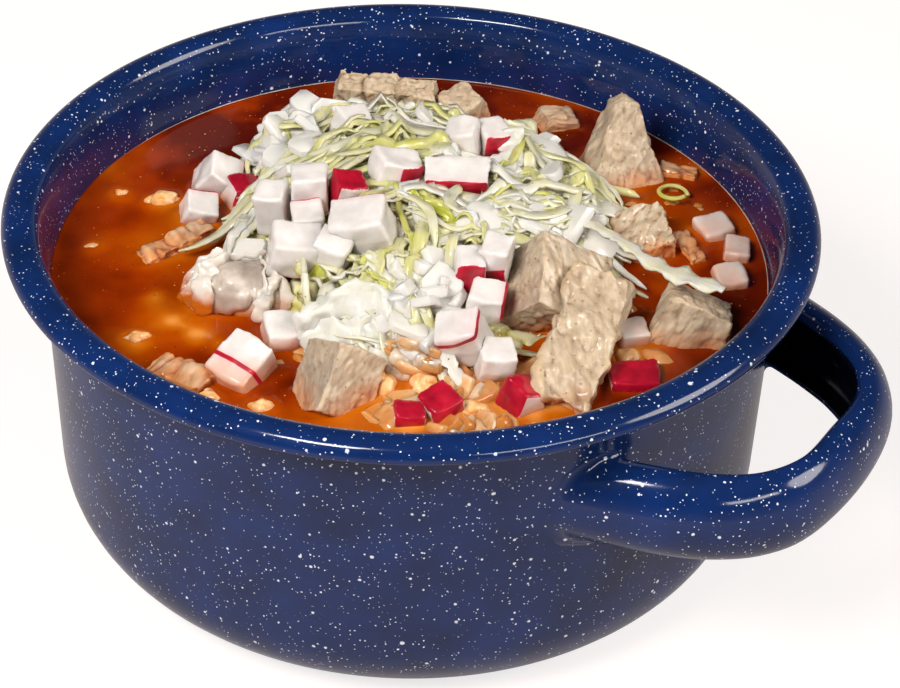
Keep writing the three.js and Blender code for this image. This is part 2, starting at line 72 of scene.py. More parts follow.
# %% Frames and units
MM = 0.001
SERVING_TURN = math.radians(33.5)
LEVEL = 77.0  # surface of the broth above the base
UP = np.array([0.0, 0.0, 1.0])
print(f"broth {LEVEL} mm above the base, serving frame turned by {math.degrees(SERVING_TURN):.1f} degrees")


def turned(points, angle):
    """Points turned about Z."""
    p = np.asarray(points, float)
    c, s = math.cos(angle), math.sin(angle)
    return np.stack([c * p[..., 0] - s * p[..., 1], s * p[..., 0] + c * p[..., 1], p[..., 2]], -1)


def to_row(points):
    """Serving frame in millimetres to the model's frame in metres."""
    return turned(points, SERVING_TURN) * MM


def to_serving(points):
    """The model's frame in metres to the serving frame in millimetres."""
    return turned(np.asarray(points, float) / MM, -SERVING_TURN)


def unit(vectors):
    """Vectors of length 1."""
    vectors = np.asarray(vectors, float)
    return vectors / np.maximum(np.linalg.norm(vectors, axis=-1, keepdims=True), 1e-9)


# %% [markdown]
# ## Small tools for meshes
# Every piece is a list of points and faces. One function turns them into an object that rides on the
# model's only body, with smooth shading and with named values on its points that the materials read.
# Others give smooth noise of a known size in millimetres, which is what makes food uneven, and a
# smooth line through a few chosen points.

# %% Small tools for meshes
def make_piece(name, points, faces, material, slot, values=None, replaces=()):
    """A finished piece from points in metres, with its finish, its body and what it replaces."""
    mesh = bpy.data.meshes.new(name)
    mesh.from_pydata(np.asarray(points).tolist(), [], [tuple(face) for face in faces])
    mesh.update()
    for key, value in (values or {}).items():
        value = np.asarray(value, np.float32)
        vector = value.ndim == 2
        layer = mesh.attributes.new(key, "FLOAT_VECTOR" if vector else "FLOAT", "POINT")
        layer.data.foreach_set("vector" if vector else "value", value.ravel())
    mesh.shade_smooth()
    mesh.materials.append(material)
    piece = bpy.data.objects.new(name, mesh)
    bpy.context.scene.collection.objects.link(piece)
    return registered(piece, replaces)


def registered(piece, replaces=()):
    """The piece rides on the body and stands for the nodes that it replaces."""
    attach(piece, "root")
    if replaces:
        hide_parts(*replaces)
    triangles = sum(len(face.vertices) - 2 for face in piece.data.polygons)
    print(f"{piece.name}: {len(piece.data.vertices)} points, {triangles} triangles")
    return piece


def lattice_faces(rows, columns, around=False):
    """Quads between the points of a lattice, which may close on itself along its columns."""
    last = columns if around else columns - 1
    r, c = np.meshgrid(np.arange(rows - 1), np.arange(last), indexing="ij")
    a = r * columns + c
    b = r * columns + (c + 1) % columns
    return np.stack([a, b, b + columns, a + columns], -1).reshape(-1, 4)


def joined(meshes):
    """Several meshes, each as its points and faces, as one."""
    points, faces, count = [], [], 0
    for own, own_faces in meshes:
        faces += [tuple(i + count for i in face) for face in own_faces]
        points.append(own)
        count += len(own)
    return np.vstack(points), faces


# %% Noise and lines
def noise_at(points, size, seed):
    """Smooth noise between about -1 and 1, with bumps about as wide as size."""
    table = np.random.default_rng(seed).uniform(-1, 1, (32, 32, 32))
    scaled = np.asarray(points, float) / size + 500.0
    cell = np.floor(scaled).astype(int)
    f = scaled - cell
    f = f * f * (3 - 2 * f)
    total = np.zeros(len(scaled))
    for corner in np.ndindex(2, 2, 2):
        i, j, k = ((cell + corner) % 32).T
        weight = np.prod(np.where(np.array(corner, bool), f, 1 - f), axis=1)
        total += weight * table[i, j, k]
    return total


def noise_shift(points, size, seed):
    """Smooth noise in all three directions."""
    return np.stack([noise_at(points, size, seed + axis) for axis in range(3)], -1)


def run_along(line):
    """How far each point is along a line."""
    return np.concatenate([[0], np.cumsum(np.linalg.norm(np.diff(line, axis=0), axis=1))])


def smooth_line(points, count):
    """Points at even steps along a Catmull-Rom curve through the given ones."""
    p = np.asarray(points, float)
    ends = np.vstack([2 * p[0] - p[1], p, 2 * p[-1] - p[-2]])
    t = np.linspace(0, len(p) - 1, 24 * len(p))
    k = np.minimum(t.astype(int), len(p) - 2)
    f = (t - k)[:, None]
    a, b, c, d = (ends[k + i] for i in range(4))
    dense = 0.5 * (
        2 * b + (c - a) * f + (2 * a - 5 * b + 4 * c - d) * f**2 + (3 * b - a - 3 * c + d) * f**3
    )
    run = run_along(dense)
    even = np.linspace(0, run[-1], count)
    return np.stack([np.interp(even, run, column) for column in dense.T], -1)


# %% [markdown]
# ## Small tools for materials
# Colours are written as the sRGB hex values that a painter would pick, and one function turns them
# to the linear values that shaders need. One more adds a node with its settings and links. Food is
# painted in layers: a base colour, then others that follow a value on the piece, such as its height
# over the broth. So one function starts a material with the values that it reads, one lays a colour
# over another, one gives wet food its shader settings, and one closes the material.

# %% Small tools for materials
def hex_colour(code):
    """An sRGB hex value as the linear colour that shaders take."""
    parts = [int(code[i:i + 2], 16) / 255 for i in (1, 3, 5)]
    linear = [p / 12.92 if p <= 0.04045 else ((p + 0.055) / 1.055) ** 2.4 for p in parts]
    return (*linear, 1.0)


def add(tree, kind, settings=None, inputs=None, stops=None):
    """Adds a node with its settings, its inputs (values or sockets) and a ramp's colours."""
    made = tree.nodes.new(kind)
    for key, value in (settings or {}).items():
        setattr(made, key, value)
    for key, value in (inputs or {}).items():
        if isinstance(value, bpy.types.NodeSocket):
            tree.links.new(value, made.inputs[key])
        else:
            made.inputs[key].default_value = value
    for i, (place, colour) in enumerate(stops or []):
        elements = made.color_ramp.elements
        element = elements[i] if i < len(elements) else elements.new(place)
        element.position = place
        element.color = hex_colour(colour)
    return made


def new_material(name):
    """An empty material and its tree."""
    material = bpy.data.materials.new(name)
    material.use_nodes = True
    material.node_tree.nodes.clear()
    return material, material.node_tree


def started(name, *values):
    """A new material, its tree, Object coordinates, and the values on its pieces that it follows."""
    material, tree = new_material(name)
    place = add(tree, "ShaderNodeTexCoord").outputs["Object"]
    read = [add(tree, "ShaderNodeAttribute", {"attribute_name": value}).outputs["Fac"] for value in values]
    return material, tree, place, *read


# %% Layers and wet surfaces
MIX = {"data_type": "RGBA"}  # a colour Mix node: inputs 0 factor, 6 and 7 colours, output 2


def layered(tree, colour, layers):
    """A colour with others laid over it. A layer has the value that it follows, where it starts and
    where it is full, its greatest share, and its colour."""
    for value, start, full, share, over in layers:
        amount = add(tree, "ShaderNodeMapRange", inputs={0: value, 1: start, 2: full, 4: share}).outputs[0]
        over = hex_colour(over) if isinstance(over, str) else over
        colour = add(tree, "ShaderNodeMix", MIX, {0: amount, 6: colour, 7: over}).outputs[2]
    return colour


def wet_look(roughness, ior, soft, film):
    """Shader settings of wet food. soft: share, colour and reach in millimetres of the light that
    wanders under the surface. film: share and roughness of the liquid on it."""
    return {
        "Roughness": roughness, "IOR": ior, "Subsurface Weight": soft[0], "Subsurface Radius": soft[1],
        "Subsurface Scale": soft[2] * MM, "Coat Weight": film[0], "Coat Roughness": film[1],
    }


def finished(material, colour, height, relief, look):
    """The material with its colour, a fine relief of a strength and a depth, and its shader's look."""
    tree = material.node_tree
    bump = add(
        tree, "ShaderNodeBump",
        inputs={"Strength": relief[0], "Distance": relief[1] * MM, "Height": height},
    )
    shader = add(
        tree, "ShaderNodeBsdfPrincipled",
        inputs={"Base Color": colour, "Normal": bump.outputs[0], **look},
    )
    add(tree, "ShaderNodeOutputMaterial", inputs={"Surface": shader.outputs[0]})
    print("made", material.name)
    return material


# %% [markdown]
# ## Camera, floor and light
# The pot stands on a plain pale floor. A diner's eye looks down on it at about 36 degrees. The light
# is one soft window at the diner's right, with a bright horizon and a dark ceiling: that ceiling is
# what makes wet broth and glossy enamel look deep instead of milky.

# %% The camera
def look_at(place, target, roll=0.0):
    """A matrix that looks from a place at a target, turned about the line of sight."""
    forward = unit(np.subtract(target, place))
    right = unit(np.cross(forward, UP))
    up = np.cross(right, forward)
    c, s = math.cos(roll), math.sin(roll)
    axes = Matrix((c * right + s * up, c * up - s * right, -forward)).transposed()
    return Matrix.Translation(Vector(place)) @ axes.to_4x4()


CAMERA_PLACE, CAMERA_TARGET = (0.3127, -0.4725, 0.4669), (0.00942, 0.00624, 0.0491)
CAMERA_ROLL = math.radians(1.84)
scene = bpy.context.scene
camera_data = bpy.data.cameras.new("camera")
camera_data.lens = 100
camera_data.sensor_width = 36
camera_data.clip_end = 20
camera = bpy.data.objects.new("camera", camera_data)
camera.matrix_world = look_at(CAMERA_PLACE, CAMERA_TARGET, CAMERA_ROLL)
scene.collection.objects.link(camera)
scene.camera = camera
scene.view_settings.view_transform = "Standard"
print(f"camera of {camera_data.lens:.0f} mm at {CAMERA_PLACE}")

# %% The light
def add_light(name, kind, serving_place, target=(0, 0, LEVEL), **settings):
    """A light at a place in the serving frame that shines at a target there."""
    data = bpy.data.lights.new(name, kind)
    for key, value in settings.items():
        setattr(data, key, value)
    lamp = bpy.data.objects.new(name, data)
    lamp.matrix_world = look_at(to_row(serving_place), to_row(target))
    scene.collection.objects.link(lamp)
    return lamp


WARM = (1.0, 0.95, 0.89)
PALE = (1.0, 0.97, 0.94)
WINDOW_HEIGHT = math.radians(38)
WINDOW_WAY = np.array([math.cos(WINDOW_HEIGHT), -0.1, math.sin(WINDOW_HEIGHT)])
add_light("window", "SUN", WINDOW_WAY * 1000, energy=1.75, angle=math.radians(30), color=WARM)
# Lamps: place in the serving frame, power in watts, width and height in metres
PANELS = {
    "fill": ((-480, -560, 830), 12.0, 0.5, 0.4),
    "glint": ((-260, -330, 1080), 5.0, 0.3, 0.16),
    "front": ((480, -700, 560), 1.5, 0.5, 0.09),
}
panels = {
    name: add_light(
        name, "AREA", place, energy=power, shape="RECTANGLE", size=wide, size_y=high, color=PALE
    )
    for name, (place, power, wide, high) in PANELS.items()
}
# The mirror image of the large fill would lie on the broth, so a small lamp gives the glints instead
panels["fill"].visible_glossy = False
panels["glint"].visible_diffuse = False

world = bpy.data.worlds.new("studio")
scene.world = world
world.use_nodes = True
tree = world.node_tree
tree.nodes.clear()
way = add(tree, "ShaderNodeTexCoord").outputs["Generated"]
height = add(tree, "ShaderNodeSeparateXYZ", inputs={0: way}).outputs["Z"]
sky = add(
    tree, "ShaderNodeValToRGB", inputs={"Fac": height},
    stops=[(0.0, "#a09a9e"), (0.10, "#83807f"), (0.30, "#4c4a4b"), (0.5, "#28282a"), (1.0, "#4e4c4a")],
)
glow = add(tree, "ShaderNodeBackground", inputs={"Color": sky.outputs["Color"], "Strength": 1.0})
add(tree, "ShaderNodeOutputWorld", inputs={"Surface": glow.outputs[0]})
print("lamps: window,", ", ".join(panels))

# %% The floor
FLOOR_HALF = 4.0  # metres
GLOW_SEEN, GLOW_CAST = 0.73, 0.18  # the board's own light, as the camera sees it and as it falls on the pot


def pale_board():
    """Matt painted board, lit from below as a light table is, which keeps the shadow soft and pale."""
    material, tree = new_material("pale_board")
    seen = add(tree, "ShaderNodeLightPath").outputs["Is Camera Ray"]
    lit = add(tree, "ShaderNodeMapRange", inputs={0: seen, 3: GLOW_CAST, 4: GLOW_SEEN}).outputs[0]
    board = add(
        tree, "ShaderNodeBsdfPrincipled",
        inputs={
            "Base Color": hex_colour("#a99d98"), "Roughness": 0.9, "Specular IOR Level": 0.0,
            "Emission Color": hex_colour("#ffffff"), "Emission Strength": lit,
        },
    )
    add(tree, "ShaderNodeOutputMaterial", inputs={"Surface": board.outputs[0]})
    return material


floor_mesh = bpy.data.meshes.new("floor")
floor_corners = [(x * FLOOR_HALF, y * FLOOR_HALF, 0) for x, y in ((-1, -1), (1, -1), (1, 1), (-1, 1))]
floor_mesh.from_pydata(floor_corners, [], [(0, 1, 2, 3)])
floor_mesh.materials.append(pale_board())
floor = bpy.data.objects.new("floor", floor_mesh)
scene.collection.objects.link(floor)
print(f"floor of {2 * FLOOR_HALF:.0f} m")

# %% [markdown]
# ## Speckled enamel
# Vitreous enamel is coloured glass fired on to steel. It is as smooth as glass, so its roughness is
# very low, with the faint orange-peel that firing leaves. The white specks are drops of a second
# enamel, flicked on before firing: many are as fine as dust and a few are over a millimetre wide.
# Three cell patterns of different spacing, each with a radius drawn for every cell, give that. The
# hollow of the handle is painted near-black: partly painted shade of the deep channel, partly the
# black ground coat that the spray doesn't reach.

# %% Speckled enamel
# Spacing of the cells in millimetres, least and greatest radius as shares of it, and how rare the
# large ones are
SPECKS = [(1.15, 0.06, 0.24, 1.7), (2.8, 0.05, 0.19, 2.2), (6.0, 0.02, 0.12, 1.6)]
SPECK_BLUR = 0.035
SPECK_WOBBLE = 0.3


def speckled_enamel():
    """Cobalt glass over steel with fired white specks."""
    material, tree, place, ground = started("speckled_cobalt_enamel", "ground")
    wobble = add(tree, "ShaderNodeTexNoise", inputs={"Vector": place, "Scale": 1 / (0.5 * MM), "Detail": 0})
    centred = add(
        tree, "ShaderNodeVectorMath", {"operation": "SUBTRACT"},
        {0: wobble.outputs["Color"], 1: (0.5, 0.5, 0.5)},
    )
    uneven = add(
        tree, "ShaderNodeVectorMath", {"operation": "MULTIPLY_ADD"},
        {0: centred.outputs[0], 1: (SPECK_WOBBLE * MM,) * 3, 2: place},
    ).outputs[0]
    specks = 0.0
    for spacing, least, most, rarity in SPECKS:
        cells = add(tree, "ShaderNodeTexVoronoi", inputs={"Vector": uneven, "Scale": 1 / (spacing * MM)})
        draw = add(tree, "ShaderNodeSeparateColor", inputs={0: cells.outputs["Color"]}).outputs[0]
        bent = add(tree, "ShaderNodeMath", {"operation": "POWER"}, {0: draw, 1: rarity}).outputs[0]
        radius = add(tree, "ShaderNodeMapRange", inputs={0: bent, 3: least, 4: most}).outputs[0]
        inside = add(
            tree, "ShaderNodeMath", {"operation": "SUBTRACT"}, {0: radius, 1: cells.outputs["Distance"]}
        ).outputs[0]
        soft = add(tree, "ShaderNodeMapRange", inputs={0: inside, 1: 0.0, 2: SPECK_BLUR}).outputs[0]
        specks = add(tree, "ShaderNodeMath", {"operation": "MAXIMUM"}, {0: soft, 1: specks}).outputs[0]
    drift = add(tree, "ShaderNodeTexNoise", inputs={"Vector": place, "Scale": 1 / (16 * MM), "Detail": 3})
    cobalt = add(
        tree, "ShaderNodeValToRGB", inputs={"Fac": drift.outputs[0]},
        stops=[(0.3, "#0b2049"), (0.7, "#0f2b63")],
    ).outputs[0]
    # Near-black in the handle's channel: painted shade of the deep hollow, with the black ground coat
    colour = layered(tree, cobalt, [(specks, 0, 1, 1, "#dfe4f0"), (ground, 0, 1, 1, "#08080e")])
    peel = add(tree, "ShaderNodeTexNoise", inputs={"Vector": place, "Scale": 1 / (3.0 * MM), "Detail": 1})
    height = add(
        tree, "ShaderNodeMath", {"operation": "MULTIPLY_ADD"}, {0: specks, 1: 0.25, 2: peel.outputs[0]}
    ).outputs[0]
    return finished(material, colour, height, (0.25, 0.08), {"Roughness": 0.11, "IOR": 1.5})


enamel = speckled_enamel()

# %% [markdown]
# ## The pot
# The pot is spun steel: a flat base, a rounded corner, a wall that leans out by 1.2 degrees and a
# rim rolled outwards and down. A shape that follows a rule suits Geometry Nodes, so the body is
# turned by a small tree: a grid whose rows are the points of the section and whose columns are
# steps round the pot. The handle is a pressed strap with a channel section, lofted along its arm.

# %% The section of the pot
RIM_RADIUS, RIM_TOP = 110, 98.5
RIM_SECTION = [
    (9.1, 6.0), (6.8, 2.6), (2.6, 2.2), (1.4, 4.4), (0.1, 4.2), (0, 2.8),
    (1.2, 1.1), (3.4, 0.1), (6.2, 0), (9.0, 1.4), (10.7, 5.4),
]
WALL_TOP_RADIUS, WALL_TOP = 99.9, 88
WALL = 1.5
TAPER = math.radians(1.2)
BASE_RADIUS, BASE_CORNER = 74, 24.5


def wall_radius(z):
    """Outer radius of the wall at a height."""
    return WALL_TOP_RADIUS - (WALL_TOP - z) * math.tan(TAPER)


def corner(radius, steps=16):
    """The base corner as an arc from the base up to the wall."""
    angle = np.linspace(-math.pi / 2, -TAPER, steps)
    return np.stack([BASE_RADIUS + radius * np.cos(angle), BASE_CORNER + radius * np.sin(angle)], -1)


rim = smooth_line(
    [(WALL_TOP_RADIUS, WALL_TOP)]
    + [(RIM_RADIUS - inwards, RIM_TOP - down) for inwards, down in RIM_SECTION]
    + [(WALL_TOP_RADIUS - WALL, WALL_TOP)],
    64,
)
base_steps = np.linspace(0, 1, 8)[:-1, None]
wall_steps = np.linspace(0, 1, 10)[1:-1, None]
outside, inside = corner(BASE_CORNER), corner(BASE_CORNER - WALL)[::-1]
section = np.vstack([
    base_steps * outside[0],
    outside,
    outside[-1] + wall_steps * (rim[0] - outside[-1]),
    rim,
    rim[-1] + wall_steps * (inside[0] - rim[-1]),
    inside,
    inside[-1] + (1 - base_steps[::-1]) * (np.array([0, WALL]) - inside[-1]),
])
print(f"pot section: {len(section)} points")

# %% A tree that turns a section about Z
def node_group(name, inputs):
    """A Geometry Nodes tree that takes geometry and named inputs and gives geometry."""
    tree = bpy.data.node_groups.new(name, "GeometryNodeTree")
    for label, kind in {"Geometry": "Geometry", **inputs}.items():
        tree.interface.new_socket(label, in_out="INPUT", socket_type="NodeSocket" + kind)
    tree.interface.new_socket("Geometry", in_out="OUTPUT", socket_type="NodeSocketGeometry")
    return tree


def turning_tree():
    """Geometry Nodes: the points of a section, turned about Z in even steps."""
    tree = node_group("turning", {"Rows": "Int", "Steps round": "Int", "Finish": "Material"})
    given = add(tree, "NodeGroupInput")
    columns = add(tree, "ShaderNodeMath", {"operation": "ADD"}, {0: given.outputs["Steps round"], 1: 1})
    grid = add(
        tree, "GeometryNodeMeshGrid",
        inputs={
            "Size X": 1, "Size Y": 1,
            "Vertices X": columns.outputs[0], "Vertices Y": given.outputs["Rows"],
        },
    )
    index = add(tree, "GeometryNodeInputIndex")
    row = add(
        tree, "ShaderNodeMath", {"operation": "MODULO"}, {0: index.outputs[0], 1: given.outputs["Rows"]}
    )
    place = add(tree, "GeometryNodeInputPosition")
    point = add(
        tree, "GeometryNodeSampleIndex", {"data_type": "FLOAT_VECTOR"},
        {"Geometry": given.outputs["Geometry"], "Value": place.outputs[0], "Index": row.outputs[0]},
    )
    across = add(tree, "ShaderNodeSeparateXYZ", inputs={0: place.outputs[0]}).outputs["X"]
    angle = add(tree, "ShaderNodeMath", {"operation": "MULTIPLY"}, {0: across, 1: 2 * math.pi})
    spun = add(
        tree, "ShaderNodeVectorRotate", {"rotation_type": "Z_AXIS"},
        {"Vector": point.outputs["Value"], "Angle": angle.outputs[0]},
    )
    moved = add(
        tree, "GeometryNodeSetPosition", inputs={"Geometry": grid.outputs[0], "Position": spun.outputs[0]}
    )
    closed = add(
        tree, "GeometryNodeMergeByDistance", inputs={"Geometry": moved.outputs[0], "Distance": 1e-6}
    )
    whole = add(tree, "GeometryNodeRealizeInstances", inputs={"Geometry": closed.outputs[0]})
    coated = add(
        tree, "GeometryNodeSetMaterial",
        inputs={"Geometry": whole.outputs[0], "Material": given.outputs["Finish"]},
    )
    add(tree, "NodeGroupOutput", inputs={0: coated.outputs[0]})
    return tree


# %% The body of the pot
def evaluated(source, tree, **inputs):
    """A plain mesh from a mesh run through a Geometry Nodes tree with named inputs."""
    carrier = bpy.data.objects.new("carrier", source)
    scene.collection.objects.link(carrier)
    modifier = carrier.modifiers.new("nodes", "NODES")
    modifier.node_group = tree
    for socket in tree.interface.items_tree:
        name = socket.name.replace(" ", "_").lower()
        if socket.in_out == "INPUT" and name in inputs:
            modifier[socket.identifier] = inputs[name]
    bpy.context.view_layer.update()
    made = bpy.data.meshes.new_from_object(
        carrier.evaluated_get(bpy.context.evaluated_depsgraph_get())
    )
    carrier.modifiers.remove(modifier)
    bpy.data.objects.remove(carrier)
    return made


def arrays_of(mesh):
    """A mesh's points and faces."""
    points = np.empty(len(mesh.vertices) * 3)
    mesh.vertices.foreach_get("co", points)
    return points.reshape(-1, 3), [tuple(face.vertices) for face in mesh.polygons]


line = bpy.data.meshes.new("section")
line.from_pydata([(r * MM, 0, z * MM) for r, z in section], [], [])
body = evaluated(line, turning_tree(), rows=len(section), steps_round=256, finish=enamel)
pot_points, pot_faces = arrays_of(body)
print(f"pot body: {len(pot_points)} points, {len(pot_faces)} faces")

# %% [markdown]
# ## The handle
# The strap leaves the wall on both sides of the grip and meets itself in one smooth bow. Its section
# is rounded outside and hollow towards the gap, as pressed sheet is, and enamel gathers in a small
# fillet where it is welded to the wall. Every point of the section runs as a line of its own from
# wall to wall, so the ends follow the round wall exactly.

# %% The handle
HANDLE_HEIGHT, HANDLE_LEVEL = 25, 66.5
HANDLE_SHEET, HANDLE_CREST, HANDLE_LIP = 1.7, 0.2, 0.86
# Inner and outer face of the strap from the wall to the middle of the grip
INNER_LINE = [(72, 46.6), (92, 41.2), (103, 37.8), (113, 33.5), (122, 26.5), (127.5, 15), (128, 0)]
OUTER_LINE = [(70, 61.5), (84, 57.5), (97, 53.5), (110, 48.6), (121, 42), (130, 33), (136, 21), (138.4, 0)]
FILLET = 3.2
FILLET_LEAN = 0.15  # leans the fillet's spread towards the outer face
BOW_POINTS, STATIONS = 600, 96


def half_section(depth, half, steps=12):
    """From the lip at the gap over the crest to the middle of the outer face."""
    angle = np.linspace(0, math.pi / 2, steps + 1)
    crest = HANDLE_CREST * depth
    curve = np.stack([crest + (depth - crest) * np.sin(angle), half * np.cos(angle)], -1)
    lip = np.array([[0, half * HANDLE_LIP], [0.45 * crest, half * (0.3 * HANDLE_LIP + 0.7)]])
    return np.vstack([lip, curve])


def channel(depth):
    """The closed section of the strap and, for each point, how far a fillet pushes it out."""
    half = HANDLE_HEIGHT / 2
    outer = half_section(depth, half)
    inner = half_section(depth - HANDLE_SHEET, half - HANDLE_SHEET)
    below = np.array([1, -1])
    loop = np.vstack([outer * below, outer[-2::-1], inner, inner[-2::-1] * below])
    outwards = unit(outer / np.array([depth, half]) - [FILLET_LEAN, 0])
    flare = np.vstack([outwards * below, outwards[-2::-1], np.zeros((2 * len(inner) - 1, 2))])
    return loop, flare


def bow(half):
    """The whole line of a face, from wall to wall, from its half towards +Y."""
    return smooth_line(half + [(x, -y) for x, y in half[-2::-1]], BOW_POINTS)


inner_line, outer_line = bow(INNER_LINE), bow(OUTER_LINE)
out = unit(outer_line - inner_line)
depths = np.linalg.norm(outer_line - inner_line, axis=1)
loops, flares = zip(*(channel(depth) for depth in depths))
loops, flares = np.array(loops), np.array(flares)
paths = np.concatenate(
    [inner_line[:, None] + out[:, None] * loops[..., :1], HANDLE_LEVEL + loops[..., 1:]], -1
)
print(f"handle: {paths.shape[1]} lines along the strap of {run_along(outer_line)[-1]:.0f} mm")

# %% The strap and its fillets
SPREAD = 0.5 - 0.5 * np.cos(np.pi * np.linspace(0, 1, STATIONS))  # closer steps near the ends


def welded(path, out, flare):
    """One line along the strap from wall to wall, pushed out in a fillet near both ends."""
    free = np.hypot(path[:, 0], path[:, 1]) > wall_radius(path[0, 2]) - WALL / 2
    first, last = np.argmax(free), len(free) - 1 - np.argmax(free[::-1])
    at = first + (last - first) * SPREAD
    station = np.arange(len(path))
    lane = np.stack([np.interp(at, station, column) for column in path.T], -1)
    side = np.stack([np.interp(at, station, column) for column in out.T], -1)
    run = run_along(lane)
    gap = np.minimum(run, run[-1] - run) - WALL / 2
    near = np.clip(1 - gap / FILLET, 0, 1)
    push = (FILLET * (1 - np.sqrt(1 - near**2)))[:, None]
    radius = np.hypot(lane[:, 0], lane[:, 1])[:, None]
    lane[:, :2] += push * flare[0] * side
    lane[:, :2] *= radius / np.hypot(lane[:, 0], lane[:, 1])[:, None]
    lane[:, 2:] += push * flare[1]
    return lane


across = paths.shape[1]
strap = np.stack([welded(paths[:, j], out, flares[0, j]) for j in range(across)], 1).reshape(-1, 3)
strap_faces = [tuple(face[::-1]) for face in lattice_faces(STATIONS, across, around=True)]
strap_faces.append(tuple(range(across)))
strap_faces.append(tuple(range(STATIONS * across - 1, (STATIONS - 1) * across - 1, -1)))

# %% Body and handle as one piece
def signed_volume(points, faces):
    """Volume inside a closed mesh, negative where it is inside out."""
    total = 0.0
    for face in faces:
        a = points[face[0]]
        for i in range(1, len(face) - 1):
            total += np.dot(a, np.cross(points[face[i]], points[face[i + 1]])) / 6
    return total


def outward(points, faces):
    """The faces of a closed mesh, turned to point outwards."""
    if signed_volume(points, faces) < 0:
        return [tuple(reversed(face)) for face in faces]
    return list(faces)


pot_faces = outward(pot_points, pot_faces)
strap_faces = outward(strap, strap_faces)
points, faces = joined([(pot_points, pot_faces), (strap * MM, strap_faces)])
inner_count = across - (2 * len(half_section(1, 1)) - 1)
# Points in the channel of the handle take the near-black of painted shade and ground coat
in_channel = np.tile(np.arange(across) > inner_count, STATIONS)
make_piece(
    "enamel_pot", points, faces, enamel, "enamel",
    values={"ground": np.concatenate([np.zeros(len(pot_points)), in_channel])}, replaces=["pot"],
)

# %% [markdown]
# ## Fine solids for the food
# Each chunk in the frame has the right size and place but only a few facets. Its mesh is copied,
# merged, remeshed with a fine voxel and relaxed a little. Then knife marks, fibres and pits are
# pushed in along the normals as real relief, because food is seen by its uneven outline.

# %% Fine solids for the food
VOXELS = {"pork": 0.52, "fat": 0.5, "radish": 0.45, "hominy": 0.45, "heap": 0.9}  # millimetres


def normals_of(points, faces):
    """Normals of the points of a mesh of quads."""
    a, b, c, d = (points[faces[:, i]] for i in range(4))
    face_normals = np.cross(c - a, d - b)
    total = np.zeros_like(points)
    for i in range(4):
        np.add.at(total, faces[:, i], face_normals)
    return unit(total)


def relaxed(points, faces, times):
    """Points drawn towards the mean of their neighbours."""
    a = faces.ravel()
    b = np.roll(faces, -1, axis=1).ravel()
    count = np.bincount(a, minlength=len(points)) + np.bincount(b, minlength=len(points))
    for _ in range(times):
        total = np.stack([
            np.bincount(a, column[b], len(points)) + np.bincount(b, column[a], len(points))
            for column in points.T
        ], -1)
        points = 0.5 * points + 0.5 * total / count[:, None]
    return points


def merged_mesh(name):
    """A merged copy of a node's mesh."""
    mesh = frame["nodes"][name].data.copy()
    shell = bmesh.new()
    shell.from_mesh(mesh)
    bmesh.ops.remove_doubles(shell, verts=shell.verts, dist=1e-6)
    shell.to_mesh(mesh)
    shell.free()
    return mesh


def grown(name, kind, times):
    """A node as an even fine mesh of quads: its points in the serving frame, faces and normals."""
    work = bpy.data.objects.new("work", merged_mesh(name))
    scene.collection.objects.link(work)
    remesh = work.modifiers.new("remesh", "REMESH")
    remesh.mode = "VOXEL"
    remesh.voxel_size = VOXELS[kind] * MM
    points, faces = arrays_of(
        bpy.data.meshes.new_from_object(work.evaluated_get(bpy.context.evaluated_depsgraph_get()))
    )
    bpy.data.objects.remove(work)
    faces = np.array([face if len(face) == 4 else (*face, face[-1]) for face in faces])
    points = relaxed(to_serving(points), faces, times)
    return points, faces, normals_of(points, faces)


def edge_values(points, faces, reach=10):
    """How far each point stands proud of its surroundings, in millimetres."""
    return np.sum(normals_of(points, faces) * (points - relaxed(points, faces, reach)), axis=1)


# %% [markdown]
# ## Pork
# Stewed pork shoulder is a bundle of fibres with seams of fat. Cut faces are pale cream to grey, with
# fibres 1 to 2 mm apart, small pits and tan edges, and what sits in the broth is stained orange.
# Each chunk has its own direction of grain, which both the relief and the colour follow.

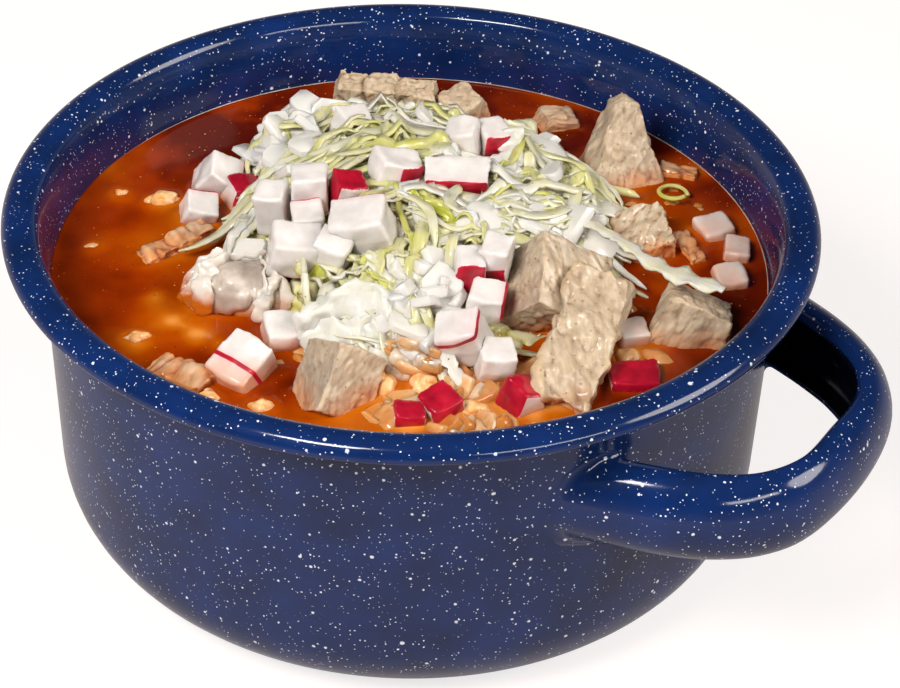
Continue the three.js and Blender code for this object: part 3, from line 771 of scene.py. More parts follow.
# %% The finish of the pork
def stewed_pork(name, wetness, stain, shaded_stain):
    """Moist cooked meat: soft gloss, fibres along the grain, stain that fades with height."""
    material, tree, place, edge, rise, grey, groove = started(name, "edge", "rise", "grey", "groove")
    grain = add(tree, "ShaderNodeAttribute", {"attribute_name": "grain"}).outputs["Vector"]
    broad = add(
        tree, "ShaderNodeTexNoise", inputs={"Vector": place, "Scale": 1 / (9 * MM), "Detail": 4}
    ).outputs[0]
    fibres = add(
        tree, "ShaderNodeTexNoise", inputs={"Vector": grain, "Scale": 1 / 1.3, "Detail": 3}
    ).outputs[0]
    light = add(
        tree, "ShaderNodeValToRGB", inputs={"Fac": fibres},
        stops=[(0.25, "#bda58a"), (0.45, "#ccb598"), (0.62, "#d8c4a9"), (0.8, "#e5d6c0")],
    ).outputs[0]
    dull = add(
        tree, "ShaderNodeValToRGB", inputs={"Fac": fibres},
        stops=[(0.28, "#9c8c7a"), (0.5, "#ad9c88"), (0.75, "#bdae9b")],
    ).outputs[0]
    # The chunk's greyness with broad noise, raised on faces turned away from the window: painted shade
    greyness_and_shade = add(tree, "ShaderNodeMath", {"operation": "ADD"}, {0: grey, 1: broad}).outputs[0]
    spots = add(
        tree, "ShaderNodeTexVoronoi", inputs={"Vector": place, "Scale": 1 / (3.2 * MM)}
    ).outputs["Distance"]
    ragged = add(
        tree, "ShaderNodeMath", {"operation": "MULTIPLY_ADD"}, {0: broad, 1: -9.0, 2: rise}
    ).outputs[0]
    # In the furrows the stain is darker: painted shade
    dye = add(
        tree, "ShaderNodeMix", MIX, {0: groove, 6: hex_colour(stain), 7: hex_colour(shaded_stain)}
    ).outputs[2]
    colour = layered(tree, light, [
        (greyness_and_shade, 0.42, 0.95, 1, dull),
        (edge, 0.12, 0.5, 1, "#d6ba94"),  # crests
        # Pits and furrows are painted darker: painted shade in the recesses
        (edge, -0.08, -0.45, 1, "#7c6046"),  # pits
        (groove, 0.15, 0.85, 0.42, "#8a6b4c"),
        (spots, 0.17, 0.09, 0.5, "#86593a"),
        (ragged, 1.5, -5.0, 0.85, dye),
    ])
    look = wet_look(0.4, 1.4, (0.15, (1.0, 0.6, 0.4), 1.2), (wetness, 0.09))
    return finished(material, colour, fibres, (0.5, 0.25), look)


pork_finish = stewed_pork("stewed_pork", 0.35, "#dc9458", "#963c0e")
soaked_finish = stewed_pork("soaked_pork", 1.0, "#e68f38", "#a84204")

# %% What tells the chunks of pork apart
# Where the fibres run, the spacing and depth of the furrows, lumps and greyness, and what else a
# chunk has: how high the broth soaks it, wrinkles, or the step and depth of its slices
PORK = {
    "pork_centre": ((-0.3, 0.5, 0.8), (2.0, 0.28), 0.6, 0.1, {}),
    "pork_front_strip": ((-0.2, 0.85, 0.5), (2.8, 0.45), 1.7, -0.1, {"wrinkles": 0.8}),
    "pork_right": ((0.5, -0.3, 0.8), (1.7, 0.3), 0.8, 0.0, {}),
    "pork_front_left": ((0.2, 0.9, 0.3), (1.8, 0.1), 0.4, 0.15, {}),
    "pork_back_wedge": ((0.2, 0.1, 1.0), (1.9, 0.3), 0.9, 0.05, {}),
    "pork_back_strip": ((0.1, 0.4, 0.9), (1.6, 0.6), 0.6, -0.1, {"slices": (9.5, 1.0)}),
    "pork_back_block": ((0.3, 0.2, 0.9), (2.0, 0.4), 0.6, 0.0, {}),
    "pork_back_bit": ((0.9, 0.2, 0.2), (1.8, 0.4), 0.5, -0.1, {}),
    "pork_side": ((0.4, 0.8, 0.2), (2.2, 0.6), 1.3, -0.2, {"soaked": 3, "wrinkles": 0.6}),
    "pork_flake_left": ((-0.5, 0.8, 0.3), (3.2, 1.1), 1.4, -0.3, {"soaked": 4, "wrinkles": 0.8}),
    "pork_flake_front": ((0.4, 0.9, 0.1), (3.0, 1.0), 1.2, -0.3, {"soaked": 3, "wrinkles": 0.6}),
    "pork_flake_right": ((0.9, -0.2, 0.1), (1.7, 0.8), 0.6, -0.3, {"soaked": 2}),
    "pork_flake_edge": ((0.2, 0.9, 0.1), (1.7, 0.8), 0.6, -0.3, {"soaked": 2}),
}


# %% Fibres and furrows
def along_grain(points, grain, squeeze=0.3):
    """Points with the direction of the grain squeezed, so that noise on them runs in fibres."""
    way = unit(grain)
    return points - (1 - squeeze) * (points @ way)[:, None] * way


def pork_chunk(name, seed, grain, furrow, lumps, grey, soaked=0.0, slices=None, wrinkles=0.0):
    """A chunk with furrows along its grain, lumps, pits and, where it was scored, slices."""
    points, faces, normals = grown(name, "pork", 2)
    fibres = along_grain(points, grain)
    spacing, depth = furrow
    warped = fibres + 0.8 * noise_shift(points, 5, seed + 21)
    cut = (1 - np.abs(noise_at(warped, spacing, seed))) ** 5
    thread = (1 - np.abs(noise_at(warped, 0.5 * spacing, seed + 8))) ** 4
    pits = np.clip(noise_at(points, 1.4, seed + 1) - 0.5, 0, 1)
    shift = (
        lumps * noise_at(points, 6.5, seed + 2)
        + 0.4 * lumps * noise_at(points, 2.6, seed + 3)
        + 0.12 * noise_at(fibres, 0.9, seed + 4)
        - depth * cut
        - 0.25 * depth * thread
        - 0.9 * pits
        + wrinkles * (1 - np.abs(noise_at(along_grain(points, grain, 0.5), 4.2, seed + 6))) ** 3
    )
    if slices:
        step, cut_depth = slices
        along = points[:, 0] / step + 0.9 * noise_at(points, 11, seed + 5)
        split = np.abs(np.cos(np.pi * along)) ** 24
        shift -= cut_depth * split
        cut = np.maximum(cut, split)
    points = points + normals * shift[:, None]
    # Soaked meat is left paler where it looks up, in patches: painted light on its tops, over the stain of
    # the broth
    stain = soaked * (1.5 - 1.3 * np.clip(normals[:, 2] + 0.5 * noise_at(points, 4.0, seed + 7), 0, 1))
    # The value grey is the chunk's own greyness, raised on faces turned away from the window at +X: painted
    # shade
    return make_piece(
        name + "_meat", to_row(points), faces, soaked_finish if soaked else pork_finish, "pork",
        values={
            "grain": fibres, "edge": edge_values(points, faces), "rise": points[:, 2] - LEVEL - stain,
            "grey": np.full(len(points), grey) - 0.25 * np.clip(normals[:, 0], -1, 1),
            "groove": np.clip(0.8 * cut + 0.35 * thread, 0, 1),
        },
        replaces=[name],
    )


for i, (name, (*look, more)) in enumerate(PORK.items()):
    pork_chunk(name, 100 + 10 * i, *look, **more)

# %% [markdown]
# ## The lump of fat
# One piece of the shoulder is fat and sinew. It boils to a smooth grey-white dome, and at its side
# and foot it comes apart in flat, wet strands. The dome is the frame's solid, relaxed and grooved,
# and each strand is a flattened tube that is drawn to the dome and follows it into the broth.

# %% The finish of the fat
def soft_fat():
    """Boiled fat and sinew: grey-white, gelatinous, wet, orange where it dips into the broth."""
    material, tree, place, rise, edge = started("soft_fat", "rise", "edge")
    cloud = add(
        tree, "ShaderNodeTexNoise", inputs={"Vector": place, "Scale": 1 / (6 * MM), "Detail": 3}
    ).outputs[0]
    pale = add(
        tree, "ShaderNodeValToRGB", inputs={"Fac": cloud},
        stops=[(0.3, "#a5968a"), (0.5, "#beafa2"), (0.7, "#dccfc2")],
    ).outputs[0]
    ragged = add(
        tree, "ShaderNodeMath", {"operation": "MULTIPLY_ADD"}, {0: cloud, 1: -6.0, 2: rise}
    ).outputs[0]
    colour = layered(tree, pale, [
        (edge, 0.1, 0.6, 1, "#efe6da"),  # crests
        # Folds are painted darker orange-brown: painted shade
        (edge, -0.1, -0.6, 0.8, "#a8683a"),  # folds
        (ragged, 1.5, -3.0, 1, "#bd6418"),
    ])
    look = wet_look(0.26, 1.42, (0.4, (1.0, 0.8, 0.6), 2), (0.7, 0.1))
    return finished(material, colour, cloud, (0.3, 0.3), look)


fat_finish = soft_fat()

# %% The lump of fat
DOME, DOME_REACH = (-45, -20), (7, 8)  # where the lump stays smooth
DOME_SMOOTHING = 150
DOME_RISE, FOLD_DEPTH = 1.0, 1.9


def fat_lump():
    """The lump, smooth on its dome and broken up round it. Gives its points and faces."""
    points, faces, normals = grown("pork_fat_lump", "fat", 10)
    legs = along_grain(points, (0.1, 0.5, 0.85), 0.4)
    off = (points[:, :2] - DOME) / DOME_REACH
    dome = np.exp(-np.sum(off**2, axis=1) ** 2)
    points = points + dome[:, None] * (relaxed(points, faces, DOME_SMOOTHING) - points)
    broken = (1 - dome) * (1 - np.abs(noise_at(legs, 4.0, 171))) ** 3
    rough = 0.6 * noise_at(points, 5.0, 172) + 0.25 * noise_at(points, 2.0, 173)
    shift = DOME_RISE * dome - FOLD_DEPTH * broken + (1 - 0.85 * dome) * rough
    points = points + normals * shift[:, None]
    make_piece(
        "pork_fat_lump_meat", to_row(points), faces, fat_finish, "pork",
        values={"edge": edge_values(points, faces), "rise": points[:, 2] - LEVEL},
        replaces=["pork_fat_lump"],
    )
    return points, faces


lump_points, lump_faces = fat_lump()

# %% Tubes
def tube(line, radius, around, flat=1.0):
    """A closed tube along a line, with its own radius at each point, and wider than thick by flat."""
    line = np.asarray(line, float)
    along = unit(np.gradient(line, axis=0))
    side = unit(np.cross(along, [0.31, 0.95, 0.05]))
    lift = np.cross(side, along)
    radius = np.broadcast_to(radius, len(line))[:, None, None]
    angle = np.linspace(0, 2 * math.pi, around, endpoint=False)[:, None]
    ring = flat * np.cos(angle) * side[:, None] + np.sin(angle) * lift[:, None]
    points = (line[:, None] + radius * ring).reshape(-1, 3)
    faces = [tuple(face) for face in lattice_faces(len(line), around, around=True)]
    faces.append(tuple(range(around))[::-1])
    faces.append(tuple((len(line) - 1) * around + i for i in range(around)))
    return points, outward(points, faces)


# %% Strands of fat
# Routes over the lump, half thickness, how much wider than thick, how high the broth stains them
STRANDS = [
    ([(-38.3, -12.3, 88), (-36.1, -17.9, 88), (-36.6, -23.4, 86), (-38.6, -27.6, 82), (-41, -31.7, 77)],
     1.1, 2.1, -1.5),
    ([(-40.5, -13, 88), (-39, -19, 87.5), (-39, -24, 85), (-40.5, -27.5, 81)], 0.5, 1.8, -1.5),
    ([(-36, -20, 85), (-34, -22.6, 82.5), (-32.8, -24, 80), (-34, -26, 77)], 1.3, 1.6, 0.5),
    ([(-48.5, -13, 88), (-53, -18.4, 87.5), (-54.9, -23.5, 84.5), (-55, -26.4, 80.5), (-54.1, -28.4, 76.6)],
     1.3, 2.3, 3.0),
    ([(-50, -12, 88), (-54.9, -15.7, 86), (-58.9, -18.6, 83), (-62, -21, 80), (-63.4, -22.4, 76.8)],
     0.9, 2.6, 3.5),
    ([(-51, -15, 87), (-56, -20, 85), (-59.6, -23.5, 80), (-61, -25, 76.8)], 0.8, 2.8, 3.5),
    ([(-38, -11, 88.6), (-43, -13.6, 89.6), (-48, -13.6, 89.2), (-52.5, -14, 87)], 0.6, 1.8, 0.0),
]
STRAND_POINTS, STRAND_SIDES = 48, 14
CLING = 0.6  # how far a strand is drawn to the lump


def fat_strands(lump_tree):
    """Flat strands that lie on the lump and run down into the broth, as one piece."""
    strands, rise = [], []
    t = np.linspace(-1, 1, STRAND_POINTS)
    for k, (route, thick, flat, soak) in enumerate(STRANDS):
        line = smooth_line(route, STRAND_POINTS)
        for i, place in enumerate(line):
            near, normal = lump_tree.find_nearest(Vector(place))[:2]
            line[i] = CLING * np.array(near + 0.2 * thick * normal) + (1 - CLING) * place
        line = line + 0.5 * noise_shift(line, 3.0, 190 + 3 * k)
        radius = thick * (1 + 0.4 * noise_at(line, 2.5, 181 + k)) * np.sqrt(np.clip(1.02 - t**6, 0, 1))
        own, own_faces = tube(line, radius, STRAND_SIDES, flat)
        own = own + 0.6 * noise_shift(own, 2.0, 241)
        strands.append((own, own_faces))
        rise.append(own[:, 2] - LEVEL - soak)
    points, faces = joined(strands)
    return make_piece(
        "fat_strands", to_row(points), faces, fat_finish, "pork",
        values={"edge": 0.5 + 0.2 * noise_at(points, 3.0, 247), "rise": np.concatenate(rise)},
    )


fat_strands(BVHTree.FromPolygons(lump_points.tolist(), lump_faces.tolist()))

# %% [markdown]
# ## Radish
# Diced radish is crisp, wet and white with a skin of strong crimson under a millimetre thick. Only a
# face from the outside of the root is red; a cut beside it shows the skin as a thin line. So each
# die names the directions in which it still has its skin, and a value on its points says how far
# inside the skin they are.

# %% The finish of the radish
def diced_radish():
    """Crisp wet root: translucent white flesh, crimson skin, orange where the broth reached it."""
    material, tree, place, skin, rise = started("diced_radish", "skin", "rise")
    cells = add(
        tree, "ShaderNodeTexNoise", inputs={"Vector": place, "Scale": 1 / (4.5 * MM), "Detail": 3}
    ).outputs[0]
    flesh, rind = (
        add(tree, "ShaderNodeValToRGB", inputs={"Fac": cells}, stops=stops).outputs[0]
        for stops in (
            [(0.3, "#ddd6d1"), (0.55, "#e7e1dd"), (0.8, "#f0edeb")],
            [(0.3, "#8e0a22"), (0.6, "#bb122f"), (0.8, "#cf2a48")],
        )
    )
    ragged = add(
        tree, "ShaderNodeMath", {"operation": "MULTIPLY_ADD"}, {0: cells, 1: -5.0, 2: rise}
    ).outputs[0]
    colour = layered(tree, flesh, [
        (skin, -1.6, 0.0, 0.35, "#e79aa8"),  # blush under the skin
        (ragged, 1.0, -4.0, 0.8, "#d8854a"),
        (skin, -0.08, 0.08, 1, rind),
    ])
    look = wet_look(0.28, 1.38, (0.4, (1.0, 0.85, 0.8), 3), (0.5, 0.1))
    return finished(material, colour, cells, (0.2, 0.2), look)


radish_finish = diced_radish()

# %% Skin and stain of the dice
# Where each die still has skin, as directions in the serving frame
SKINS = {
    "radish_left_large": [(0.8, 0.5, -0.2)],
    "radish_left_small": [(-0.1, 1.0, 0.3)],
    "radish_left_red": [(0, -1, 0.2), (0.1, 0.1, 1)],
    "radish_mound_left": [(0, -0.2, -1)],
    "radish_mound_step": [(0, 1, 0.2)],
    "radish_mound_tall": [],
    "radish_mound_pale": [],
    "radish_mound_round": [],
    "radish_big": [(0, 1, 0.1)],
    "radish_skin_left": [(-0.5, -0.8, 0.3), (0, 0.1, 1)],
    "radish_peak_pair": [(0.95, -0.3, 0)],
    "radish_back_left": [(0.9, -0.3, -0.2)],
    "radish_slice": [(0, -1, 0)],
    "radish_peak_right": [(0, -0.2, -1)],
    "radish_peak_red": [(0.3, -0.9, 0.2)],
    "radish_front_red": [(-0.2, -1, 0)],
    "radish_front_white": [(0.2, -0.5, -0.8)],
    "radish_front_upper": [(1, 0, 0)],
    "radish_front_stack": [(-0.75, 0.1, 0.5)],
    "radish_front_low": [],
    "radish_broth_left": [(-0.45, -0.6, -0.65)],
    "radish_broth_mid": [(0.9, -0.4, 0)],
    "radish_front_cube": [(-0.1, -1, 0.1), (0, 0, 1)],
    "radish_front_dark": [(0, -1, 0), (0, 0, 1)],
    "radish_front_right": [(-0.8, -0.4, 0.2), (0, 0.1, 1)],
    "radish_sunk_right": [(0, 0, 1), (0, -1, 0.2)],
    "radish_right_white": [],
    "radish_far_a": [],
    "radish_far_b": [],
    "radish_far_c": [],
}
# Where two layers cling together, how far under the die's outline the skin lies, in millimetres
INSETS = {"radish_front_stack": 2.5, "radish_broth_left": 6.0}
# Dice that float or lean into the broth: how high it has stained them
SOAKED = {
    "radish_far_a": 2.0, "radish_far_b": 2.5, "radish_far_c": 2.0, "radish_right_white": 2.0,
    "radish_broth_left": 4.0, "radish_broth_mid": 2.5, "radish_left_red": 2.0, "radish_sunk_right": 1.0,
}
SKIN, SKIN_LINE = 0.7, 0.6  # its thickness, and half the width of its line in a die of two layers
KNIFE_SWELL, KNIFE_WAVE = 0.3, 0.45  # how full and how uneven the knife leaves a face
FACING = 0.75  # how nearly a normal has to agree with a direction to count as that face


# %% The dice
def skin_depth(points, normals, way, inset):
    """How far inside the skin each point is, in millimetres: above 0 it is red."""
    way = unit(way)
    own = normals[normals @ way > FACING]
    if len(own):
        way = unit(own.mean(axis=0))
    depth = (points @ way).max() - points @ way
    if inset:
        return SKIN_LINE - np.abs(depth - inset)
    on_face = 8 * (normals @ way - 0.72)
    return np.maximum(SKIN - depth, np.minimum(3.0 - depth, on_face))


def radish_die(name, skins, seed):
    """A die with slightly uneven knife faces and its own patches of skin."""
    points, faces, normals = grown(name, "radish", 2)
    skin = np.full(len(points), -5.0)
    for way in skins:
        skin = np.maximum(skin, skin_depth(points, normals, way, INSETS.get(name)))
    wave, grain = noise_at(points, 5.0, seed), noise_at(points, 1.3, seed + 1)
    shift = KNIFE_SWELL + KNIFE_WAVE * wave + 0.05 * grain
    points = points + normals * shift[:, None]
    return make_piece(
        name + "_die", to_row(points), faces, radish_finish, "radish",
        values={"skin": skin, "rise": points[:, 2] - LEVEL - SOAKED.get(name, 0.0)},
        replaces=[name],
    )


for i, (name, skins) in enumerate(SKINS.items()):
    radish_die(name, skins, seed=300 + 10 * i)

# %% [markdown]
# ## Hominy
# Hominy is maize that was soaked in lime until its skin came off: swollen, soft kernels that burst at
# the tip. In this broth they are orange-stained cream with a dull wet shine.

# %% The finish of the hominy
def soaked_hominy():
    """Soft swollen kernel: starchy, translucent, stained by chilli oil."""
    material, tree, place, rise, edge = started("soaked_hominy", "rise", "edge")
    cloud = add(
        tree, "ShaderNodeTexNoise", inputs={"Vector": place, "Scale": 1 / (2.6 * MM), "Detail": 3}
    ).outputs[0]
    starch = add(
        tree, "ShaderNodeValToRGB", inputs={"Fac": cloud},
        stops=[(0.3, "#e09a52"), (0.5, "#eeb87a"), (0.75, "#f6d4a4")],
    ).outputs[0]
    colour = layered(tree, starch, [
        (rise, 1.6, -0.4, 0.75, "#b8591c"),
        # Creases are painted darker: painted shade
        (edge, -0.05, -0.3, 0.7, "#9c4514"),  # creases
    ])
    look = wet_look(0.32, 1.38, (0.2, (1.0, 0.5, 0.2), 2), (0.3, 0.15))
    return finished(material, colour, cloud, (0.4, 0.2), look)


hominy_finish = soaked_hominy()

# %% The kernels
CREASE_DEPTH = 0.7


def hominy_kernel(name, seed):
    """A swollen kernel with lumps and a crease."""
    points, faces, normals = grown(name, "hominy", 4)
    crease = (1 - np.abs(noise_at(points, 4.0, seed))) ** 6
    lumps = 0.5 * noise_at(points, 3.4, seed + 1) + 0.15 * noise_at(points, 1.5, seed + 2)
    points = points + normals * (lumps - CREASE_DEPTH * crease)[:, None]
    return make_piece(
        name + "_kernel", to_row(points), faces, hominy_finish, "hominy",
        values={"rise": points[:, 2] - LEVEL, "edge": edge_values(points, faces)},
        replaces=[name],
    )


for i, name in enumerate(name for name in frame["nodes"] if name.startswith("hominy")):
    hominy_kernel(name, seed=700 + 10 * i)

# %% [markdown]
# ## What things rest on
# Shreds and crumbs have to lie on the heap and keep clear of the chunks. Two trees of triangles
# answer that: one of the heap in the frame, and one of all the chunks.

# %% What things rest on
def tree_of(names):
    """A tree of triangles of some nodes, in the serving frame."""
    points, faces = joined(arrays_of(frame["nodes"][name].data) for name in names)
    return BVHTree.FromPolygons(to_serving(points).tolist(), faces)


CHUNKS = [name for name in frame["nodes"] if name.split("_")[0] in ("pork", "radish", "hominy")]
heap_tree = tree_of(["garnish"])
chunk_tree = tree_of(CHUNKS)
DOWN = Vector((0, 0, -1))
print(f"{len(CHUNKS)} chunks to keep clear of")


def height_on(tree, x, y, missing):
    """Height of the highest surface at a place, or the missing value."""
    hit = tree.ray_cast(Vector((x, y, 140)), DOWN)[0]
    return missing if hit is None else hit.z


def clear_of_chunks(point, gap):
    """Whether a point keeps a gap to every chunk and isn't inside one."""
    near, normal, _, distance = chunk_tree.find_nearest(Vector(point))
    return distance > gap and (Vector(point) - near).dot(normal) > 0


# %% [markdown]
# ## Broth
# The broth is a red stock of dried chillies with a film of oil. It is a closed body that fills the
# pot. Its surface climbs a little at the wall and round each chunk, which is what makes a liquid
# look wet, and it is cloudier where something lies just under it. Near the right wall and at the
# back it is painted darker: painted shade.

# %% The finish of the broth
def chilli_broth():
    """Opaque stock with oil on it: almost a mirror, dark and red-brown, cloudy orange near food, with painted
    shade.
    """
    material, tree, place, cloud = started("chilli_broth", "cloud")
    broad, fine = (
        add(
            tree, "ShaderNodeTexNoise", inputs={"Vector": place, "Scale": 1 / (size * MM), "Detail": detail}
        ).outputs[0]
        for size, detail in ((30, 2), (3, 3))
    )
    mixed = broad
    for value, share in ((fine, 0.08), (cloud, 0.45)):
        mixed = add(
            tree, "ShaderNodeMath", {"operation": "MULTIPLY_ADD"}, {0: value, 1: share, 2: mixed}
        ).outputs[0]
    colour = add(
        tree, "ShaderNodeValToRGB", inputs={"Fac": mixed},
        stops=[
            (0.30, "#5e1400"), (0.48, "#922e00"), (0.64, "#a84400"), (0.84, "#c0640c"), (1.0, "#dc8c3c"),
        ],
    ).outputs[0]
    look = {"Roughness": 0.1, "IOR": 1.36, "Specular IOR Level": 0.25}
    return finished(material, colour, fine, (0.25, 0.15), look)


broth_finish = chilli_broth()

# %% The surface of the broth
# Sunken kernels and crumbs show as soft lighter patches; a negative strength paints shade instead,
# mostly near the right wall and at the back: place, reach and strength
CLOUDS_AND_SHADE = [
    (-68.6, -19.2, 3.0, 0.6), (-63.1, -30.4, 3.6, 0.7), (-56.6, -35.6, 3.4, 0.8), (-49.7, -40.2, 3.0, 0.6),
    (-71.3, -40.3, 4.0, 0.5), (-82.8, 29.8, 4.0, 0.4), (-71.6, 25.2, 5, 0.4), (-88.4, 4.9, 4.0, 0.4),
    (54.9, 55.6, 5, 0.6), (81, 51.2, 5, 0.5), (72.4, 53.6, 5, 0.5), (85.2, 48.6, 4, 0.5),
    (13, -62, 24, 0.9), (-30, -44, 8, 0.6), (38, -66, 9, 0.7), (60, -40, 10, 0.6), (80, 20, 9, 0.4),
    (90, -18, 22, -0.6), (74, -56, 20, -0.6), (86, 36, 16, -0.4), (-40, -8, 20, -0.3), (-62, 62, 26, -0.6),
    (-24, 88, 26, -0.6), (28, 90, 26, -0.6), (70, 66, 20, -0.3), (-26, -54, 10, -0.6), (-88, 0, 14, 0.15),
]
RINGS, SPOKES = 132, 512
DEPTH_RINGS = 13  # from the surface down to the base
OVERLAP = 0.1  # into the steel, so that no gap shows
# How high the surface climbs, and over what distance, at the wall and at a chunk
WALL_CLIMB, CHUNK_CLIMB = (0.9, 1.3), (0.7, 0.9)
SWELL, SWELL_SIZE = 0.12, 14
EDGE = wall_radius(LEVEL) - WALL + 2 * OVERLAP


def broth_surface():
    """Radius and angle on a fine polar grid, and the height of the surface with its menisci."""
    radius = EDGE * np.linspace(0, 1, RINGS + 1)[1:] ** 0.85
    angle = np.linspace(0, 2 * math.pi, SPOKES, endpoint=False)
    r, a = np.meshgrid(radius, angle, indexing="ij")
    flat = np.stack([r * np.cos(a), r * np.sin(a), np.full_like(r, LEVEL)], -1).reshape(-1, 3)
    near = np.array([chunk_tree.find_nearest(Vector(p))[3] for p in flat])
    climb = sum(
        rise * np.exp(-away / reach)
        for away, (rise, reach) in ((EDGE - r.ravel(), WALL_CLIMB), (near, CHUNK_CLIMB))
    )
    flat[:, 2] += climb + SWELL * noise_at(flat, SWELL_SIZE, 901)
    return flat, near


# %% The body of the broth
def bowl_radius(z):
    """Radius of the broth's body at a height, just into the steel."""
    drop = BASE_CORNER - z
    if drop <= 0:
        return wall_radius(z) - WALL + OVERLAP
    inner = BASE_CORNER - WALL
    return min(EDGE, BASE_RADIUS + math.sqrt(max(inner**2 - drop**2, 0)) + OVERLAP)


def broth_body(surface):
    """Points and faces of the whole body: the surface, rings down the wall, and a pole at each end."""
    base = WALL + OVERLAP
    rings = [surface]
    for z in np.linspace(LEVEL, base, DEPTH_RINGS + 1)[1:]:
        rings.append(unit(surface[-SPOKES:] * [1, 1, 0]) * bowl_radius(z) + [0, 0, z])
    points = np.vstack(rings + [[[0, 0, LEVEL], [0, 0, base]]])
    row_count = RINGS + DEPTH_RINGS
    faces = [tuple(face[::-1]) for face in lattice_faces(row_count, SPOKES, around=True)]
    top, bottom = len(points) - 2, len(points) - 1
    last = (row_count - 1) * SPOKES
    for i in range(SPOKES):
        j = (i + 1) % SPOKES
        faces.append((top, i, j))
        faces.append((bottom, last + j, last + i))
    return points, outward(points, faces)


CRUMBS, CRUMB_REACH = 0.22, 1.8  # crumbs cloud the broth close to each chunk
surface, near = broth_surface()
broth_points, broth_faces = broth_body(surface)
cloud = np.zeros(len(broth_points))
cloud[:len(near)] = CRUMBS * np.exp(-near / CRUMB_REACH)
# Negative strengths make the broth darker there: painted shade
for x, y, reach, strength in CLOUDS_AND_SHADE:
    off = np.hypot(surface[:, 0] - x, surface[:, 1] - y) / reach
    cloud[:len(near)] += strength * np.exp(-(off**2) * (1 + 0.6 * noise_at(surface, 4, 905)))
make_piece(
    "chilli_broth", to_row(broth_points), broth_faces, broth_finish, "broth",
    values={"cloud": cloud}, replaces=["broth"],
)

# %% [markdown]
# ## Shredded lettuce
# Iceberg lettuce cut in strips gives thin yellow-green shreds, thick white ribs and broad ruffled
# scraps. They are closed ribbons draped on the heap: each follows a wandering line over it, bridges
# the hollows, is lifted by what lies under it and keeps clear of the chunks. Each point knows how far
# it is across and along its ribbon, so that the fine ribs of the leaf run along the shred.

# %% The finish of the lettuce
RIB_SPACING, RIB_LENGTH = 0.8, 12  # millimetres
TONE_STEP = 40  # carries the rib pattern on from one leaf's tone to the next


def wet_lettuce(name, stops, soft, clear):
    """Wet leaf: thin, translucent, glossy; white at the rib and yellow-green at the edge."""
    material, tree, place, tone, across, along = started(name, "tone", "across", "along")
    drift = add(
        tree, "ShaderNodeTexNoise", inputs={"Vector": place, "Scale": 1 / (5 * MM), "Detail": 3}
    ).outputs[0]
    flow = add(tree, "ShaderNodeCombineXYZ", inputs={0: across, 1: along, 2: tone}).outputs[0]
    stretched = add(
        tree, "ShaderNodeVectorMath", {"operation": "MULTIPLY"},
        {0: flow, 1: (1 / RIB_SPACING, 1 / RIB_LENGTH, TONE_STEP)},
    ).outputs[0]
    ribs = add(
        tree, "ShaderNodeTexNoise", inputs={"Vector": stretched, "Scale": 1.0, "Detail": 3}
    ).outputs[0]
    shade = tone
    for value, share in ((drift, 0.7), (ribs, 0.55)):
        shade = add(
            tree, "ShaderNodeMath", {"operation": "MULTIPLY_ADD"}, {0: value, 1: share, 2: shade}
        ).outputs[0]
    centred = add(tree, "ShaderNodeMath", {"operation": "SUBTRACT"}, {0: shade, 1: 0.6}).outputs[0]
    colour = add(tree, "ShaderNodeValToRGB", inputs={"Fac": centred}, stops=stops).outputs[0]
    look = wet_look(0.24, 1.38, (soft, (0.75, 0.7, 1.0), 2), (0.8, 0.06))
    return finished(material, colour, ribs, (0.6, 0.25), {**look, "Transmission Weight": clear})


leaf_finish = wet_lettuce(
    "wet_lettuce",
    [(0.0, "#f1eee6"), (0.2, "#eee8cc"), (0.48, "#e4df9e"), (0.78, "#d4d268"), (1.0, "#b4b836")],
    soft=0.5, clear=0.15,
)
# The packed leaf runs from pale to olive-brown with its tone, which is high in the gaps: painted shade
core_finish = wet_lettuce(
    "packed_lettuce",
    [(0.0, "#ece7c4"), (0.4, "#e0da9c"), (0.7, "#ccc06a"), (1.0, "#a88c3c")],
    soft=0.4, clear=0.0,
)

# %% Ribbons
class Heap:
    """Gathers many small shapes into the points, faces and values of one piece."""

    def __init__(self):
        self.points, self.faces, self.lines, self.tone, self.count = [], [], [], [], 0

    def put(self, points, faces, lines, tone):
        """Adds one shape. lines holds how far each point is across and along it, in millimetres."""
        self.faces += [tuple(i + self.count for i in face) for face in faces]
        self.points.append(points)
        self.lines.append(lines)
        self.tone.append(np.broadcast_to(tone, len(points)))
        self.count += len(points)

    def piece(self, name, material, slot, replaces=()):
        """All the shapes as one piece."""
        across, along = np.vstack(self.lines).T
        return make_piece(
            name, to_row(np.vstack(self.points)), self.faces, material, slot,
            values={"tone": np.concatenate(self.tone), "across": across, "along": along},
            replaces=replaces,
        )


